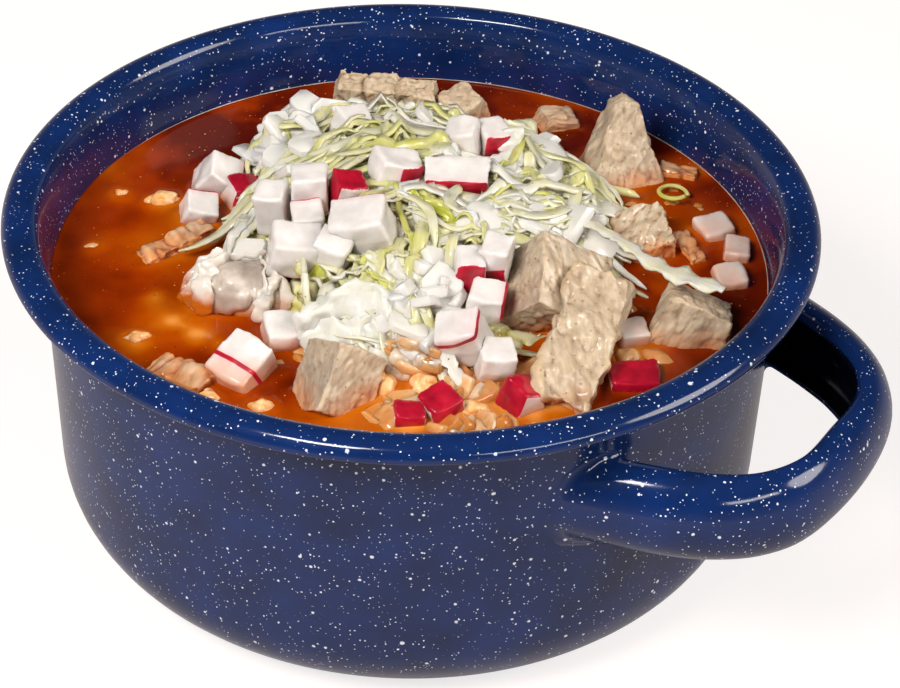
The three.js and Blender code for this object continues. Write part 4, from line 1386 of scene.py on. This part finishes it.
def ribbon(line, left, right, thick, roll=0.0, cup=0.0, ruffle=0.0, waves=3.0, strips=2):
    """A closed thin strip along a line. roll turns it about the line and ruffle waves its edges."""
    line = np.asarray(line, float)
    count = len(line)
    along = unit(np.gradient(line, axis=0))
    side = unit(np.cross(along, UP))
    lift = np.cross(side, along)
    turn = np.broadcast_to(roll, count)[:, None]
    across = np.cos(turn) * side + np.sin(turn) * lift
    face = np.cos(turn) * lift - np.sin(turn) * side
    t = np.linspace(0, 1, count)[:, None]
    left = np.broadcast_to(left, count)[:, None]
    right = np.broadcast_to(right, count)[:, None]
    columns, reaches = [], []
    for share in np.linspace(-1, 1, strips + 1):
        reach = right * share if share > 0 else left * share
        wave = ruffle * share**2 * np.sin(2 * np.pi * waves * t + 1.7 * share)
        columns.append(line + across * reach + face * (wave - cup * share**2))
        reaches.append(reach)
    half = 0.5 * thick * face
    ring = [c + half for c in columns] + [c - half for c in columns[::-1]]
    points = np.stack(ring, 1).reshape(-1, 3)
    wide = np.hstack(reaches + reaches[::-1])
    lines = np.stack([wide, np.broadcast_to(run_along(line)[:, None], wide.shape)], -1).reshape(-1, 2)
    around = len(ring)
    faces = lattice_faces(count, around, around=True).tolist()
    faces.append(list(range(around))[::-1])
    faces.append([(count - 1) * around + i for i in range(around)])
    return points, faces, lines


# %% How the shreds lie
def draped(x, y, lift, smooth=2):
    """Heights for a line over the heap, smoothed so that it bridges hollows."""
    z = np.array([height_on(heap_tree, a, b, LEVEL) for a, b in zip(x, y)])
    for _ in range(smooth):
        padded = np.concatenate([z[:1], z, z[-1:]])
        z = np.maximum(z, (padded[:-2] + padded[1:-1] + padded[2:]) / 3)
    return z + lift


MOUND = {"x": 3, "y": 9, "half_x": 53, "half_y": 60}  # centre and half sizes of the heap
# Place in the heap, and the way the shreds run there in degrees
COMBING = [
    (-34, 26, 35), (-12, 42, 10), (36, 40, -50), (50, 22, -35), (30, 4, 20), (8, 24, -15),
    (-30, -4, 60), (-22, -32, -55), (2, -24, -80), (10, -44, -70), (-4, 4, -30), (20, -8, -25),
]


def combed(x, y):
    """The heading of the shreds at a place."""
    places = np.array([row[:2] for row in COMBING], float)
    angles = np.radians([row[2] for row in COMBING])
    weight = 1 / (np.sum((places - (x, y)) ** 2, axis=1) + 60) ** 2
    return math.atan2((weight * np.sin(angles)).sum(), (weight * np.cos(angles)).sum())


def wander(rng, length, stations, bend, loose):
    """A line that wanders over the heap the way the shreds lie there, as x and y."""
    angle = rng.uniform(0, 2 * math.pi)
    reach = math.sqrt(rng.uniform(0, 1)) * 0.98
    x0 = MOUND["x"] + MOUND["half_x"] * reach * math.cos(angle)
    y0 = MOUND["y"] + MOUND["half_y"] * reach * math.sin(angle)
    t = np.linspace(-0.5, 0.5, stations)
    heading = combed(x0, y0) + rng.normal(0, loose)
    heading = heading + bend * (rng.uniform(-1, 1) * t + 0.5 * rng.uniform(-1, 1) * np.sin(6 * t))
    step = length / (stations - 1)
    x, y = np.cumsum(np.cos(heading)) * step, np.cumsum(np.sin(heading)) * step
    middle = stations // 2
    return x0 + x - x[middle], y0 + y - y[middle]


# Where the leaves are greener: place, how much, and the square of its reach
GREENER = [(34, 32, 0.24, 900), (-24, 32, 0.2, 500), (-8, -18, 0.34, 400)]


def tone_at(rng, x, y):
    """Greener at the back right and the back left, whiter at the front."""
    green = sum(much * math.exp(-((x - a) ** 2 + (y - b) ** 2) / reach) for a, b, much, reach in GREENER)
    return float(np.clip(green + rng.normal(0.16, 0.16), -0.05, 0.85))


# %% Shreds, ribs and scraps
# Sizes are in millimetres. loose is the spread of the heading, and lift the height over the heap.
SHREDS = {
    "shreds": {
        "count": 280, "length": (20, 46), "half": (0.7, 1.8), "thick": (0.4, 0.7), "bend": 1.5,
        "loose": 0.45, "lift": (0.2, 4.6), "ruffle": (0, 0.3), "stations": 18, "strips": 2,
    },
    "ribs": {
        "count": 60, "length": (9, 20), "half": (1.4, 2.4), "thick": (1.0, 1.8), "bend": 0.6,
        "loose": 0.7, "lift": (0.6, 3.2), "ruffle": (0, 0.2), "stations": 9, "strips": 2,
    },
    "scraps": {
        "count": 90, "length": (12, 24), "half": (1.8, 3.6), "thick": (0.45, 0.8), "bend": 1.0,
        "loose": 0.6, "lift": (0.4, 3.4), "ruffle": (0.4, 1.2), "stations": 16, "strips": 5,
    },
}


def scatter_ribbons(heap, rng, look):
    """Adds ribbons of one kind to a heap, each draped where it has room."""
    placed = 0
    for _ in range(8 * look["count"]):
        if placed == look["count"]:
            break
        stations = look["stations"]
        x, y = wander(rng, rng.uniform(*look["length"]), stations, look["bend"], look["loose"])
        z = draped(x, y, rng.uniform(*look["lift"]))
        half = rng.uniform(*look["half"])
        middle = stations // 2
        on_heap = height_on(heap_tree, x[middle], y[middle], None) is not None
        line = np.stack([x, y, z], -1)
        t = np.linspace(-1, 1, stations)
        line[:, 2] += rng.uniform(-0.6, 1.6) * (1 - t**2) - rng.uniform(0, 1.2) * np.abs(t) ** 3
        if not on_heap or sum(clear_of_chunks(p, 0.3 * half + 0.3) for p in line) < 0.93 * stations:
            continue
        outline = np.sqrt(np.clip(1.02 - t**4, 0, 1)) * half
        ragged = 0.2 if look["strips"] > 2 else 0.1
        left = outline * (1 + ragged * rng.normal(size=stations))
        right = outline * (1 + ragged * rng.normal(size=stations))
        roll = rng.normal(0, 0.25) + rng.normal(0, 0.3) * t
        shape = ribbon(
            line, left, right, rng.uniform(*look["thick"]), roll, cup=rng.uniform(-0.2, 0.3) * half,
            ruffle=rng.uniform(*look["ruffle"]), waves=rng.uniform(1, 3), strips=look["strips"],
        )
        heap.put(*shape, tone_at(rng, x[middle], y[middle]))
        placed += 1
    print(f"placed {placed} of {look['count']}")


# %% Sheaves
# Bundles of shreds that lie side by side, as they fell from the knife: line, spread, count, half
# width and tone
SHEAVES = [
    ([(-52, 32), (-45, 41), (-37, 45), (-27, 49)], 7, 18, (0.8, 1.6), 0.22),
    ([(-52, 20), (-42, 31), (-32, 38), (-17, 40)], 7, 22, (0.8, 1.6), 0.16),
    ([(-48, 44), (-38, 54), (-26, 60), (-12, 60)], 7, 12, (0.8, 1.6), 0.24),
    ([(20, 62), (34, 57), (46, 46), (53, 30)], 9, 26, (0.7, 1.5), 0.30),
    ([(14, 46), (28, 46), (40, 38), (50, 22)], 8, 22, (0.7, 1.5), 0.24),
    ([(4, 34), (12, 24), (24, 16), (40, 10)], 8, 18, (1.0, 2.2), 0.12),
    ([(12, -4), (24, 1), (38, 6), (52, 12)], 7, 16, (0.9, 1.9), 0.18),
    ([(-16, -20), (-9, -28), (-2, -35), (5, -43)], 6, 14, (0.8, 1.7), 0.28),
    ([(-26, -22), (-20, -24), (-10, -26), (0, -27)], 5, 12, (0.8, 1.5), 0.45),
    ([(-54, -8), (-48, 2), (-44, 12), (-38, 22)], 2.5, 6, (1.0, 1.9), 0.10),
    ([(16, -18), (12, -26), (8, -36), (10, -48)], 4, 9, (0.9, 1.8), 0.10),
    ([(-2, -4), (4, -3), (10, -7), (15, -14)], 4, 9, (0.8, 1.5), 0.62),
]
SHEAF_POINTS = 22
SHEAF_GAP = 0.6  # to the chunks


def lay_sheaf(heap, rng, line, spread, count, half, tone):
    """Shreds that follow one line side by side, each a little off it and at its own height."""
    t = np.linspace(-1, 1, SHEAF_POINTS)
    whole = smooth_line(line, 60)
    for _ in range(count):
        first, last = rng.uniform(0, 0.25), rng.uniform(0.75, 1.0)
        path = smooth_line(whole[int(60 * first):int(60 * last)], SHEAF_POINTS)
        path += rng.normal(0, 0.5 * spread, 2)
        path += 0.08 * spread * np.cumsum(rng.normal(size=(SHEAF_POINTS, 2)), axis=0)
        z = draped(path[:, 0], path[:, 1], rng.uniform(0.8, 4.2), 4)
        route = np.column_stack([path, z + rng.uniform(-0.3, 1.8) * (1 - t**2)])
        if sum(clear_of_chunks(p, SHEAF_GAP) for p in route) < SHEAF_POINTS - 1:
            continue
        width = rng.uniform(*half) * np.sqrt(np.clip(1.02 - t**4, 0, 1))
        edges = [width * (1 + 0.12 * rng.normal(size=SHEAF_POINTS)) for _ in range(2)]
        shape = ribbon(
            route, *edges, rng.uniform(0.5, 0.9), rng.normal(0, 0.3) + rng.normal(0, 0.4) * t,
            cup=rng.uniform(0, 0.4) * width.max(), ruffle=rng.uniform(0.1, 0.5),
            waves=rng.uniform(2, 4), strips=4,
        )
        heap.put(*shape, tone + rng.normal(0, 0.14))


# %% The shredded lettuce
rng = np.random.default_rng(44)
heap = Heap()
for sheaf in SHEAVES:
    lay_sheaf(heap, rng, *sheaf)
heap.piece("lettuce_sheaves", leaf_finish, "garnish")

rng = np.random.default_rng(41)
for kind, look in SHREDS.items():
    heap = Heap()
    scatter_ribbons(heap, rng, look)
    heap.piece("lettuce_" + kind, leaf_finish, "garnish")

# %% The leaves that show most
# Line over the heap, half width, height above what it lies on, ruffle, tone, lean to the front. A
# line with heights of its own isn't draped.
LEAVES = [
    ([(12, 6), (24, 1), (35, 4), (45, 9.5), (57.5, 17.5), (67, 23)], 3.0, 2.6, 0.5, 0.02, 0),
    ([(-28, -44, 83), (-23, -40.5, 87), (-16, -38, 89.5), (-9, -39, 89.5), (-3, -44, 86)],
     5.5, 0, 0.7, -0.1, 0.7),
    ([(-27, -46, 80), (-22, -45, 83), (-15, -44, 85), (-8, -45, 85), (-4, -47, 82)], 4.2, 0, 0.7, -0.1, 0.9),
    ([(-3, -43, 86), (-2, -47, 83.5), (-4, -51, 81), (-6, -54, 78)], 2.0, 0, 0.4, -0.1, 0),
    ([(-24.3, -29, 83), (-25, -25, 87), (-23.4, -21.5, 90.5), (-19.5, -21, 92.5)], 2.1, 0, 0.2, 0.95, 0),
    ([(-19.5, -21, 93), (-13.3, -23, 93), (-7.9, -28.4, 92.5), (-2.6, -35.2, 92), (3.2, -40.8, 90)],
     1.6, 0, 0.3, 0.5, 0),
    ([(0.5, -12, 92), (0.7, -4.4, 96), (3.6, -3.4, 98), (9, -8.1, 98), (13.6, -12.1, 94)],
     1.2, 0, 0.2, 0.85, 0),
    ([(3, -10, 94), (6.4, -9, 96.5), (11.7, -9.3, 96.5), (14.4, -13.5, 93)], 1.0, 0, 0.2, 0.7, 0),
    ([(-1, -12, 94), (0.3, -20.5, 93.5), (2, -28.3, 92.5), (3.9, -37.7, 90)], 4.2, 0, 1.4, 0.1, 0),
    ([(-38, 17), (-43, 7), (-48, -3), (-52, -10)], 1.8, 2.0, 0.3, 0.15, 0),
    ([(-50, 10), (-40, 16), (-30, 24), (-19, 31.5)], 1.9, 2.6, 0.4, 0.45, 0),
    ([(-44, 22), (-34, 27), (-22, 35), (-10, 38)], 1.6, 3.0, 0.4, 0.4, 0),
    ([(24, 54), (37, 52), (46, 44), (51, 29)], 1.5, 2.6, 0.3, 0.45, 0),
    ([(20, 48), (32, 46), (42, 38), (50, 24)], 1.6, 3.0, 0.3, 0.35, 0),
    ([(26, 40), (36, 36), (46, 26), (56, 20)], 1.8, 3.2, 0.4, 0.3, 0),
    ([(2.1, -35.4, 89), (4.1, -44.5, 87), (8, -50.3, 85), (12, -55.5, 81), (14.6, -59.1, 77)],
     1.9, 0, 0.3, -0.1, 0),
    ([(-10, 8), (-3, 3), (3, -4), (4, -13)], 4.0, 4.5, 1.0, -0.1, 0),
    ([(0, 45), (5, 38), (6, 28), (3, 20)], 4.0, 4.2, 0.4, 0.0, 0),
    ([(25, 43), (27, 34), (27, 24), (26, 16)], 3.4, 4.0, 0.5, 0.0, 0),
    ([(6, -16), (4, -24), (2, -30), (-3, -34)], 2.2, 4.6, 0.6, 0.1, 0),
    ([(14, -6), (22, -12), (26, -4), (36, -2)], 2.6, 3.2, 0.8, 0.05, 0),
]
LEAF_POINTS, LEAF_THICKNESS = 36, 0.6
# How ragged the edges and how crumpled the leaf, for one that lies and for one that leans
LYING, LEANING = (0.13, 0.2), (0.07, 0.34)
support_tree = tree_of(["garnish"] + CHUNKS)


# %% Laying the leaves
def laid(line, lift, count=LEAF_POINTS):
    """A smooth line at its own heights, or at a height above the heap and the chunks."""
    flat = smooth_line(line, count)
    if flat.shape[1] == 3:
        return flat
    z = np.array([height_on(support_tree, x, y, LEVEL + 0.3) for x, y in flat])
    window = np.hanning(9) / np.hanning(9).sum()
    padded = np.concatenate([np.full(4, z[0]), z, np.full(4, z[-1])])
    return np.column_stack([flat, np.convolve(padded, window, "valid") + lift])


heap = Heap()
rng = np.random.default_rng(47)
t = np.linspace(-1, 1, LEAF_POINTS)
for line, half, lift, ruffle, tone, lean in LEAVES:
    ragged, crumpled = LEANING if lean else LYING
    shape = half * np.sqrt(np.clip(1.03 - t**4, 0, 1))
    edges = [shape * (1 + ragged * rng.normal(size=LEAF_POINTS)) for _ in range(2)]
    path = laid(line, lift - 2.0 * np.abs(t) ** 3)
    roll = 0.15 * rng.normal() + 0.25 * np.sin(2.5 * t + rng.uniform(0, 6)) - lean
    waves = rng.uniform(3, 5)
    points, faces, lines = ribbon(
        path, *edges, LEAF_THICKNESS, roll, 0.12 * half, ruffle, waves, strips=9
    )
    heap.put(points + crumpled * min(half, 5) * noise_shift(points, 3.4, 261), faces, lines, tone)
heap.piece("lettuce_leaves", leaf_finish, "garnish")

# %% [markdown]
# ## Chopped onion
# Chopped white onion is small curved plates, because each is a piece of one layer of the bulb. They
# are white and glassy on the heap, and stained orange where they float at the front. A plate is an
# uneven four-cornered outline with a bevel, of a few dozen faces, and all of them are one joined mesh.

# %% The finish of the onion
def chopped_onion():
    """Raw bulb: watery, translucent, with fine lines along the layer; orange where it floats."""
    material, tree, place, tone = started("chopped_onion", "tone")
    cells = add(
        tree, "ShaderNodeTexNoise", inputs={"Vector": place, "Scale": 1 / (2.4 * MM), "Detail": 3}
    ).outputs[0]
    mixed = add(
        tree, "ShaderNodeMath", {"operation": "MULTIPLY_ADD"}, {0: cells, 1: 0.4, 2: tone}
    ).outputs[0]
    colour = add(
        tree, "ShaderNodeValToRGB", inputs={"Fac": mixed},
        stops=[(0.0, "#eeebe5"), (0.4, "#e8e0d2"), (0.75, "#e6ac74"), (1.0, "#d4843c")],
    ).outputs[0]
    look = wet_look(0.22, 1.38, (0.5, (1.0, 0.9, 0.8), 3), (0.8, 0.06))
    return finished(material, colour, cells, (0.3, 0.15), {**look, "Transmission Weight": 0.06})


onion_finish = chopped_onion()

# %% Plates of onion
PLATE_CORNERS = np.radians([33, 57, 123, 147, 213, 237, 303, 327])
PLATE_SIDES = len(PLATE_CORNERS)
HARD, SOFT = (0.9, 0.32), (0.66, 0.16)  # how wide and how high the bevel of a plate starts


def plate(rng, size, thick, place, tilt, yaw, bevel=HARD):
    """A curved bevelled plate with an uneven four-cornered outline."""
    radius = 0.6 * size * (1 + 0.07 * rng.normal(size=PLATE_SIDES))
    outline = np.stack([np.cos(PLATE_CORNERS), np.sin(PLATE_CORNERS)], -1) * radius[:, None]
    outline[:, 0] *= rng.uniform(0.75, 1.3)
    outline[:, 0] += rng.uniform(-0.3, 0.3) * outline[:, 1]
    levels = [(bevel[0], -0.5), (1.0, -bevel[1]), (1.0, bevel[1]), (bevel[0], 0.5)]
    rings = [np.column_stack([outline * scale, np.full(PLATE_SIDES, z * thick)]) for scale, z in levels]
    points = np.vstack(rings + [[[0, 0, -0.5 * thick], [0, 0, 0.5 * thick]]])
    points[:, 2] -= rng.uniform(0.0, 0.05) * points[:, 0] ** 2
    faces = lattice_faces(len(levels), PLATE_SIDES, around=True).tolist()
    top = (len(levels) - 1) * PLATE_SIDES
    low_pole, high_pole = len(points) - 2, len(points) - 1
    for i in range(PLATE_SIDES):
        j = (i + 1) % PLATE_SIDES
        faces.append([low_pole, j, i])
        faces.append([high_pole, top + i, top + j])
    turn = Matrix.Rotation(yaw, 3, "Z") @ Matrix.Rotation(tilt[0], 3, "X") @ Matrix.Rotation(tilt[1], 3, "Y")
    return points @ np.array(turn).T + place, faces, points[:, :2]


def scatter_plates(heap, rng, count, area, size, lean, lift, tone, thick, bevel=HARD, soak=0):
    """Plates at random places of an area that is given by its centre and half sizes. soak is how
    fast the stain of the broth fades with height."""
    placed = 0
    for _ in range(12 * count):
        if placed == count:
            break
        angle, reach = rng.uniform(0, 2 * math.pi), math.sqrt(rng.uniform(0, 1))
        x, y = area[0] + area[2] * reach * math.cos(angle), area[1] + area[3] * reach * math.sin(angle)
        wide = rng.uniform(*size)
        z = height_on(heap_tree, x, y, LEVEL - 0.4) + rng.uniform(*lift)
        if not clear_of_chunks((x, y, z), 0.42 * wide):
            continue
        tilt = rng.normal(0, lean, 2)
        deep = rng.uniform(*thick)
        points, faces, lines = plate(rng, wide, deep, (x, y, z), tilt, rng.uniform(0, 6.28), bevel)
        heap.put(points, faces, lines, rng.uniform(*tone) - soak * (points[:, 2] - LEVEL))
        placed += 1
    print(f"placed {placed} of {count}")


# %% Onion on the heap and afloat
# Number, area, size, lean, height over the heap, tone, thickness, bevel and soak
ON_HEAP = [
    (26, (3, 9, 50, 56), (7, 12), 0.45, (2.6, 5.0), (-0.3, 0.0), (2.0, 3.4)),
    (22, (-34, 46, 14, 16), (7, 10.5), 0.5, (2.0, 5.5), (-0.3, 0.0), (2.0, 3.4)),
    (12, (4, -34, 16, 12), (6, 10), 0.5, (3.0, 5.5), (-0.3, 0.0), (2.0, 3.4)),
]
AFLOAT = [
    (120, (10, -59, 28, 15), (6, 10.5), 0.45, (-2.0, 0.6), (0.5, 1.1), (2.6, 4.0), HARD, 0.06),
    (14, (60, -30, 12, 12), (5, 8), 0.4, (-2.2, -0.4), (0.6, 0.95), (2.4, 3.6), SOFT),
    (8, (-34, -42, 8, 8), (5, 8), 0.4, (-2.0, -0.2), (0.5, 0.9), (2.4, 3.6), SOFT),
    (16, (68, 40, 16, 20), (5, 8), 0.4, (-2.4, -0.8), (0.6, 0.95), (2.4, 3.6), SOFT),
]
rng = np.random.default_rng(52)
for name, rows, crease in (("onion_plates", ON_HEAP, 40), ("onion_afloat", AFLOAT, 50)):
    heap = Heap()
    for row in rows:
        scatter_plates(heap, rng, *row)
    plates = heap.piece(name, onion_finish, "garnish")
    plates.data.set_sharp_from_angle(angle=math.radians(crease))

# %% [markdown]
# ## The core of the heap
# Under the loose shreds the heap is packed leaf, seen only through the gaps. It is the frame's own
# solid of the heap, remeshed, sunk a little and cut by deep gaps, which are painted darker
# olive-brown as painted shade.

# %% The imported core of the heap
SINK, GAP_DEPTH = 0.7, 1.6


def packed_core():
    """What is seen between the shreds: the heap itself, sunk a little, with deep gaps."""
    points, faces, normals = grown("garnish", "heap", 2)
    gaps = (1 - np.abs(noise_at(points, 3.6, 811))) ** 3
    shift = -SINK + 0.5 * noise_at(points, 2.4, 812) - GAP_DEPTH * gaps
    points = points + normals * shift[:, None]
    # The tone is high in the deep gaps, where the leaf is painted darker: painted shade
    return make_piece(
        "lettuce_core", to_row(points), faces, core_finish, "garnish",
        values={"tone": 0.1 + 0.8 * gaps}, replaces=["garnish"],
    )


packed_core()

# %% [markdown]
# ## The curl and the long strand
# Two pieces of lettuce lie apart from the heap: a thin rib that has curled up on the broth, and one
# strand that leaves the heap, hangs free over the pork and widens into leaf at its end.

# %% The curl and the long strand
CURL_PLACE, CURL_RADIUS, CURL_TURN = (74.5, 34), 4.2, 1.75 * math.pi
STRAND = [(40, 5, 89), (48, -3, 93), (56.5, -14, 94.5), (63, -21.6, 94), (70, -26, 93), (82, -31.6, 92)]
STRAND_STEPS, STRAND_HALF, LEAF_HALF = 40, 2.2, 4.4

curl = Heap()
angle = np.linspace(0, CURL_TURN, 30)
x, y = CURL_PLACE[0] + CURL_RADIUS * np.cos(angle), CURL_PLACE[1] + CURL_RADIUS * np.sin(angle)
curl.put(*ribbon(np.stack([x, y, LEVEL + 1.6 + 0.3 * angle], -1), 0.5, 0.5, 1.1, roll=0.9), tone=0.7)
curl.piece("lettuce_curl_leaf", leaf_finish, "lettuce", replaces=["lettuce_curl"])

long_strand = Heap()
rng = np.random.default_rng(43)
t = np.linspace(0, 1, STRAND_STEPS)
leafy = np.clip((t - 0.55) / 0.25, 0, 1) * np.clip((1 - t) / 0.12, 0.1, 1)
half = STRAND_HALF + (LEAF_HALF - STRAND_HALF) * leafy
edges = [half + 0.4 * rng.normal(size=STRAND_STEPS) for _ in range(2)]
shape = ribbon(
    smooth_line(STRAND, STRAND_STEPS), *edges, 0.7,
    roll=0.2, cup=0.4, ruffle=0.3 + 0.9 * leafy[:, None], waves=7, strips=6,
)
long_strand.put(*shape, tone=0.12)
long_strand.piece("lettuce_strand_leaf", leaf_finish, "lettuce", replaces=["lettuce_strand"])

# %% [markdown]
# ## Flecks and droplets
# Dried oregano is rubbed over the heap and small drops of fat and flakes of chilli float on the
# broth. Such things are scattered by Geometry Nodes: points on the faces that look up, a flattened
# low-poly ball on each, turned at random, and all of it realized as plain mesh.

# %% A tree that scatters
def scattering_tree():
    """Geometry Nodes: flattened balls of random size on the faces that look up."""
    sizes = dict.fromkeys(("Density", "Least", "Most", "Flatness"), "Float")
    tree = node_group("scattering", {**sizes, "Seed": "Int", "Finish": "Material"})
    given = add(tree, "NodeGroupInput").outputs
    normal = add(tree, "GeometryNodeInputNormal").outputs[0]
    up = add(tree, "ShaderNodeSeparateXYZ", inputs={0: normal}).outputs["Z"]
    open_faces = add(tree, "ShaderNodeMath", {"operation": "GREATER_THAN"}, {0: up, 1: 0.3}).outputs[0]
    density = add(
        tree, "ShaderNodeMath", {"operation": "MULTIPLY"}, {0: open_faces, 1: given["Density"]}
    ).outputs[0]
    spots = add(
        tree, "GeometryNodeDistributePointsOnFaces",
        inputs={"Mesh": given["Geometry"], "Density": density, "Seed": given["Seed"]},
    )
    ball = add(tree, "GeometryNodeMeshIcoSphere", inputs={"Radius": 1.0, "Subdivisions": 1})
    size = add(
        tree, "FunctionNodeRandomValue",
        inputs={2: given["Least"], 3: given["Most"], "Seed": given["Seed"]},
    ).outputs[1]
    narrow = add(
        tree, "FunctionNodeRandomValue", inputs={2: 0.45, 3: 1.0, "Seed": 5}
    ).outputs[1]
    width = add(tree, "ShaderNodeMath", {"operation": "MULTIPLY"}, {0: size, 1: narrow}).outputs[0]
    depth = add(tree, "ShaderNodeMath", {"operation": "MULTIPLY"}, {0: size, 1: given["Flatness"]}).outputs[0]
    scale = add(tree, "ShaderNodeCombineXYZ", inputs={0: size, 1: width, 2: depth}).outputs[0]
    yaw = add(tree, "FunctionNodeRandomValue", inputs={2: 0.0, 3: 2 * math.pi, "Seed": 6}).outputs[1]
    spin = add(tree, "FunctionNodeAxisAngleToRotation", inputs={"Axis": (0, 0, 1), "Angle": yaw})
    turned_by = add(
        tree, "FunctionNodeRotateRotation", {"rotation_space": "LOCAL"},
        {0: spots.outputs["Rotation"], 1: spin.outputs[0]},
    )
    placed = add(
        tree, "GeometryNodeInstanceOnPoints",
        inputs={
            "Points": spots.outputs["Points"], "Instance": ball.outputs["Mesh"],
            "Rotation": turned_by.outputs[0], "Scale": scale,
        },
    )
    whole = add(tree, "GeometryNodeRealizeInstances", inputs={"Geometry": placed.outputs[0]})
    coated = add(
        tree, "GeometryNodeSetMaterial",
        inputs={"Geometry": whole.outputs[0], "Material": given["Finish"]},
    )
    add(tree, "NodeGroupOutput", inputs={0: coated.outputs[0]})
    return tree


scattering = scattering_tree()
print(f"scattering tree: {len(scattering.nodes)} nodes")

# %% Oregano
def speck_finish(name, stops, roughness, coat):
    """Small loose things whose colour changes from one to the next."""
    material, tree, place = started(name)
    change = add(
        tree, "ShaderNodeTexNoise", inputs={"Vector": place, "Scale": 1 / (2 * MM), "Detail": 2}
    ).outputs[0]
    colour = add(tree, "ShaderNodeValToRGB", inputs={"Fac": change}, stops=stops).outputs[0]
    look = {"Roughness": roughness, "Coat Weight": coat, "Coat Roughness": 0.08}
    return finished(material, colour, change, (0.3, 0.05), look)


def scattered(name, sources, finish, slot, density, least, most, flatness, seed):
    """One piece of small things scattered over some meshes. density is their number on 1 cm2."""
    made = [
        evaluated(
            source, scattering, density=density * 1e4, least=least * MM, most=most * MM,
            flatness=flatness, seed=seed + k, finish=finish,
        )
        for k, source in enumerate(sources)
    ]
    return make_piece(name, *joined(arrays_of(mesh) for mesh in made), finish, slot)


oregano = speck_finish("dried_oregano", [(0.35, "#5f5626"), (0.5, "#7d7440"), (0.65, "#9a6c40")], 0.7, 0.0)
DUSTED = ["lettuce_sheaves", "lettuce_leaves", "lettuce_shreds", "lettuce_scraps"] + [
    name + "_meat" for name in PORK if "flake" not in name
]
scattered(
    "oregano_flecks", [bpy.data.objects[name].data for name in DUSTED], oregano, "garnish",
    density=2.6, least=0.1, most=0.32, flatness=0.3, seed=61,
)

# %% Drops of fat and flakes of chilli
CLEAR_OF_FOOD = 1.2
free = near > CLEAR_OF_FOOD
free &= np.array([height_on(heap_tree, x, y, 0.0) < LEVEL - 2 for x, y in surface[:, :2]])
open_faces = [face for face in lattice_faces(RINGS, SPOKES, around=True).tolist() if free[face].all()]
open_broth = bpy.data.meshes.new("open_broth")
open_broth.from_pydata(to_row(surface).tolist(), [], [face[::-1] for face in open_faces])
open_broth.update()
if open_broth.polygons[0].normal.z < 0:
    open_broth.flip_normals()
droplets = speck_finish("fat_drops", [(0.35, "#b04a0c"), (0.5, "#d88a34"), (0.65, "#e8b878")], 0.12, 0.3)
flakes = speck_finish("chilli_flakes", [(0.35, "#4c0a00"), (0.5, "#8a1c02"), (0.65, "#b84010")], 0.5, 0.0)
scattered("fat_droplets", [open_broth], droplets, "broth", 2.2, 0.1, 0.34, 0.3, seed=71)
scattered("chilli_flecks", [open_broth], flakes, "broth", 2.5, 0.12, 0.4, 0.2, seed=75)

# %% [markdown]
# ## The line on the wall
# Just above the broth, a pale line round part of the wall stands in for the bright edge of the
# meniscus: a painted highlight, a third of a millimetre thick. It is a thin tube, uneven and tapered
# at its ends.

# %% The line on the wall
WALL_LINE_TURN, WALL_LINE_POINTS = (-32, 152), 220  # degrees
WALL_LINE_RADIUS, WALL_LINE_HEIGHT = EDGE - 0.75, LEVEL + 0.95
turn = np.radians(np.linspace(*WALL_LINE_TURN, WALL_LINE_POINTS))
ring = np.stack([np.cos(turn), np.sin(turn), np.zeros(WALL_LINE_POINTS)], -1) * WALL_LINE_RADIUS
ring[:, 2] = WALL_LINE_HEIGHT
step = np.arange(WALL_LINE_POINTS)
taper = np.clip(np.minimum(step, step[::-1]) / 30, 0.05, 1)
points, faces = tube(ring, 0.15 * taper * (1 + 0.35 * noise_at(ring, 6, 77)), around=6)
# A pale tube as the painted highlight of the meniscus
make_piece(
    "fat_line", to_row(points), faces, fat_finish, "broth",
    values={"edge": np.full(len(points), 0.0), "rise": np.full(len(points), 6.0)},
)
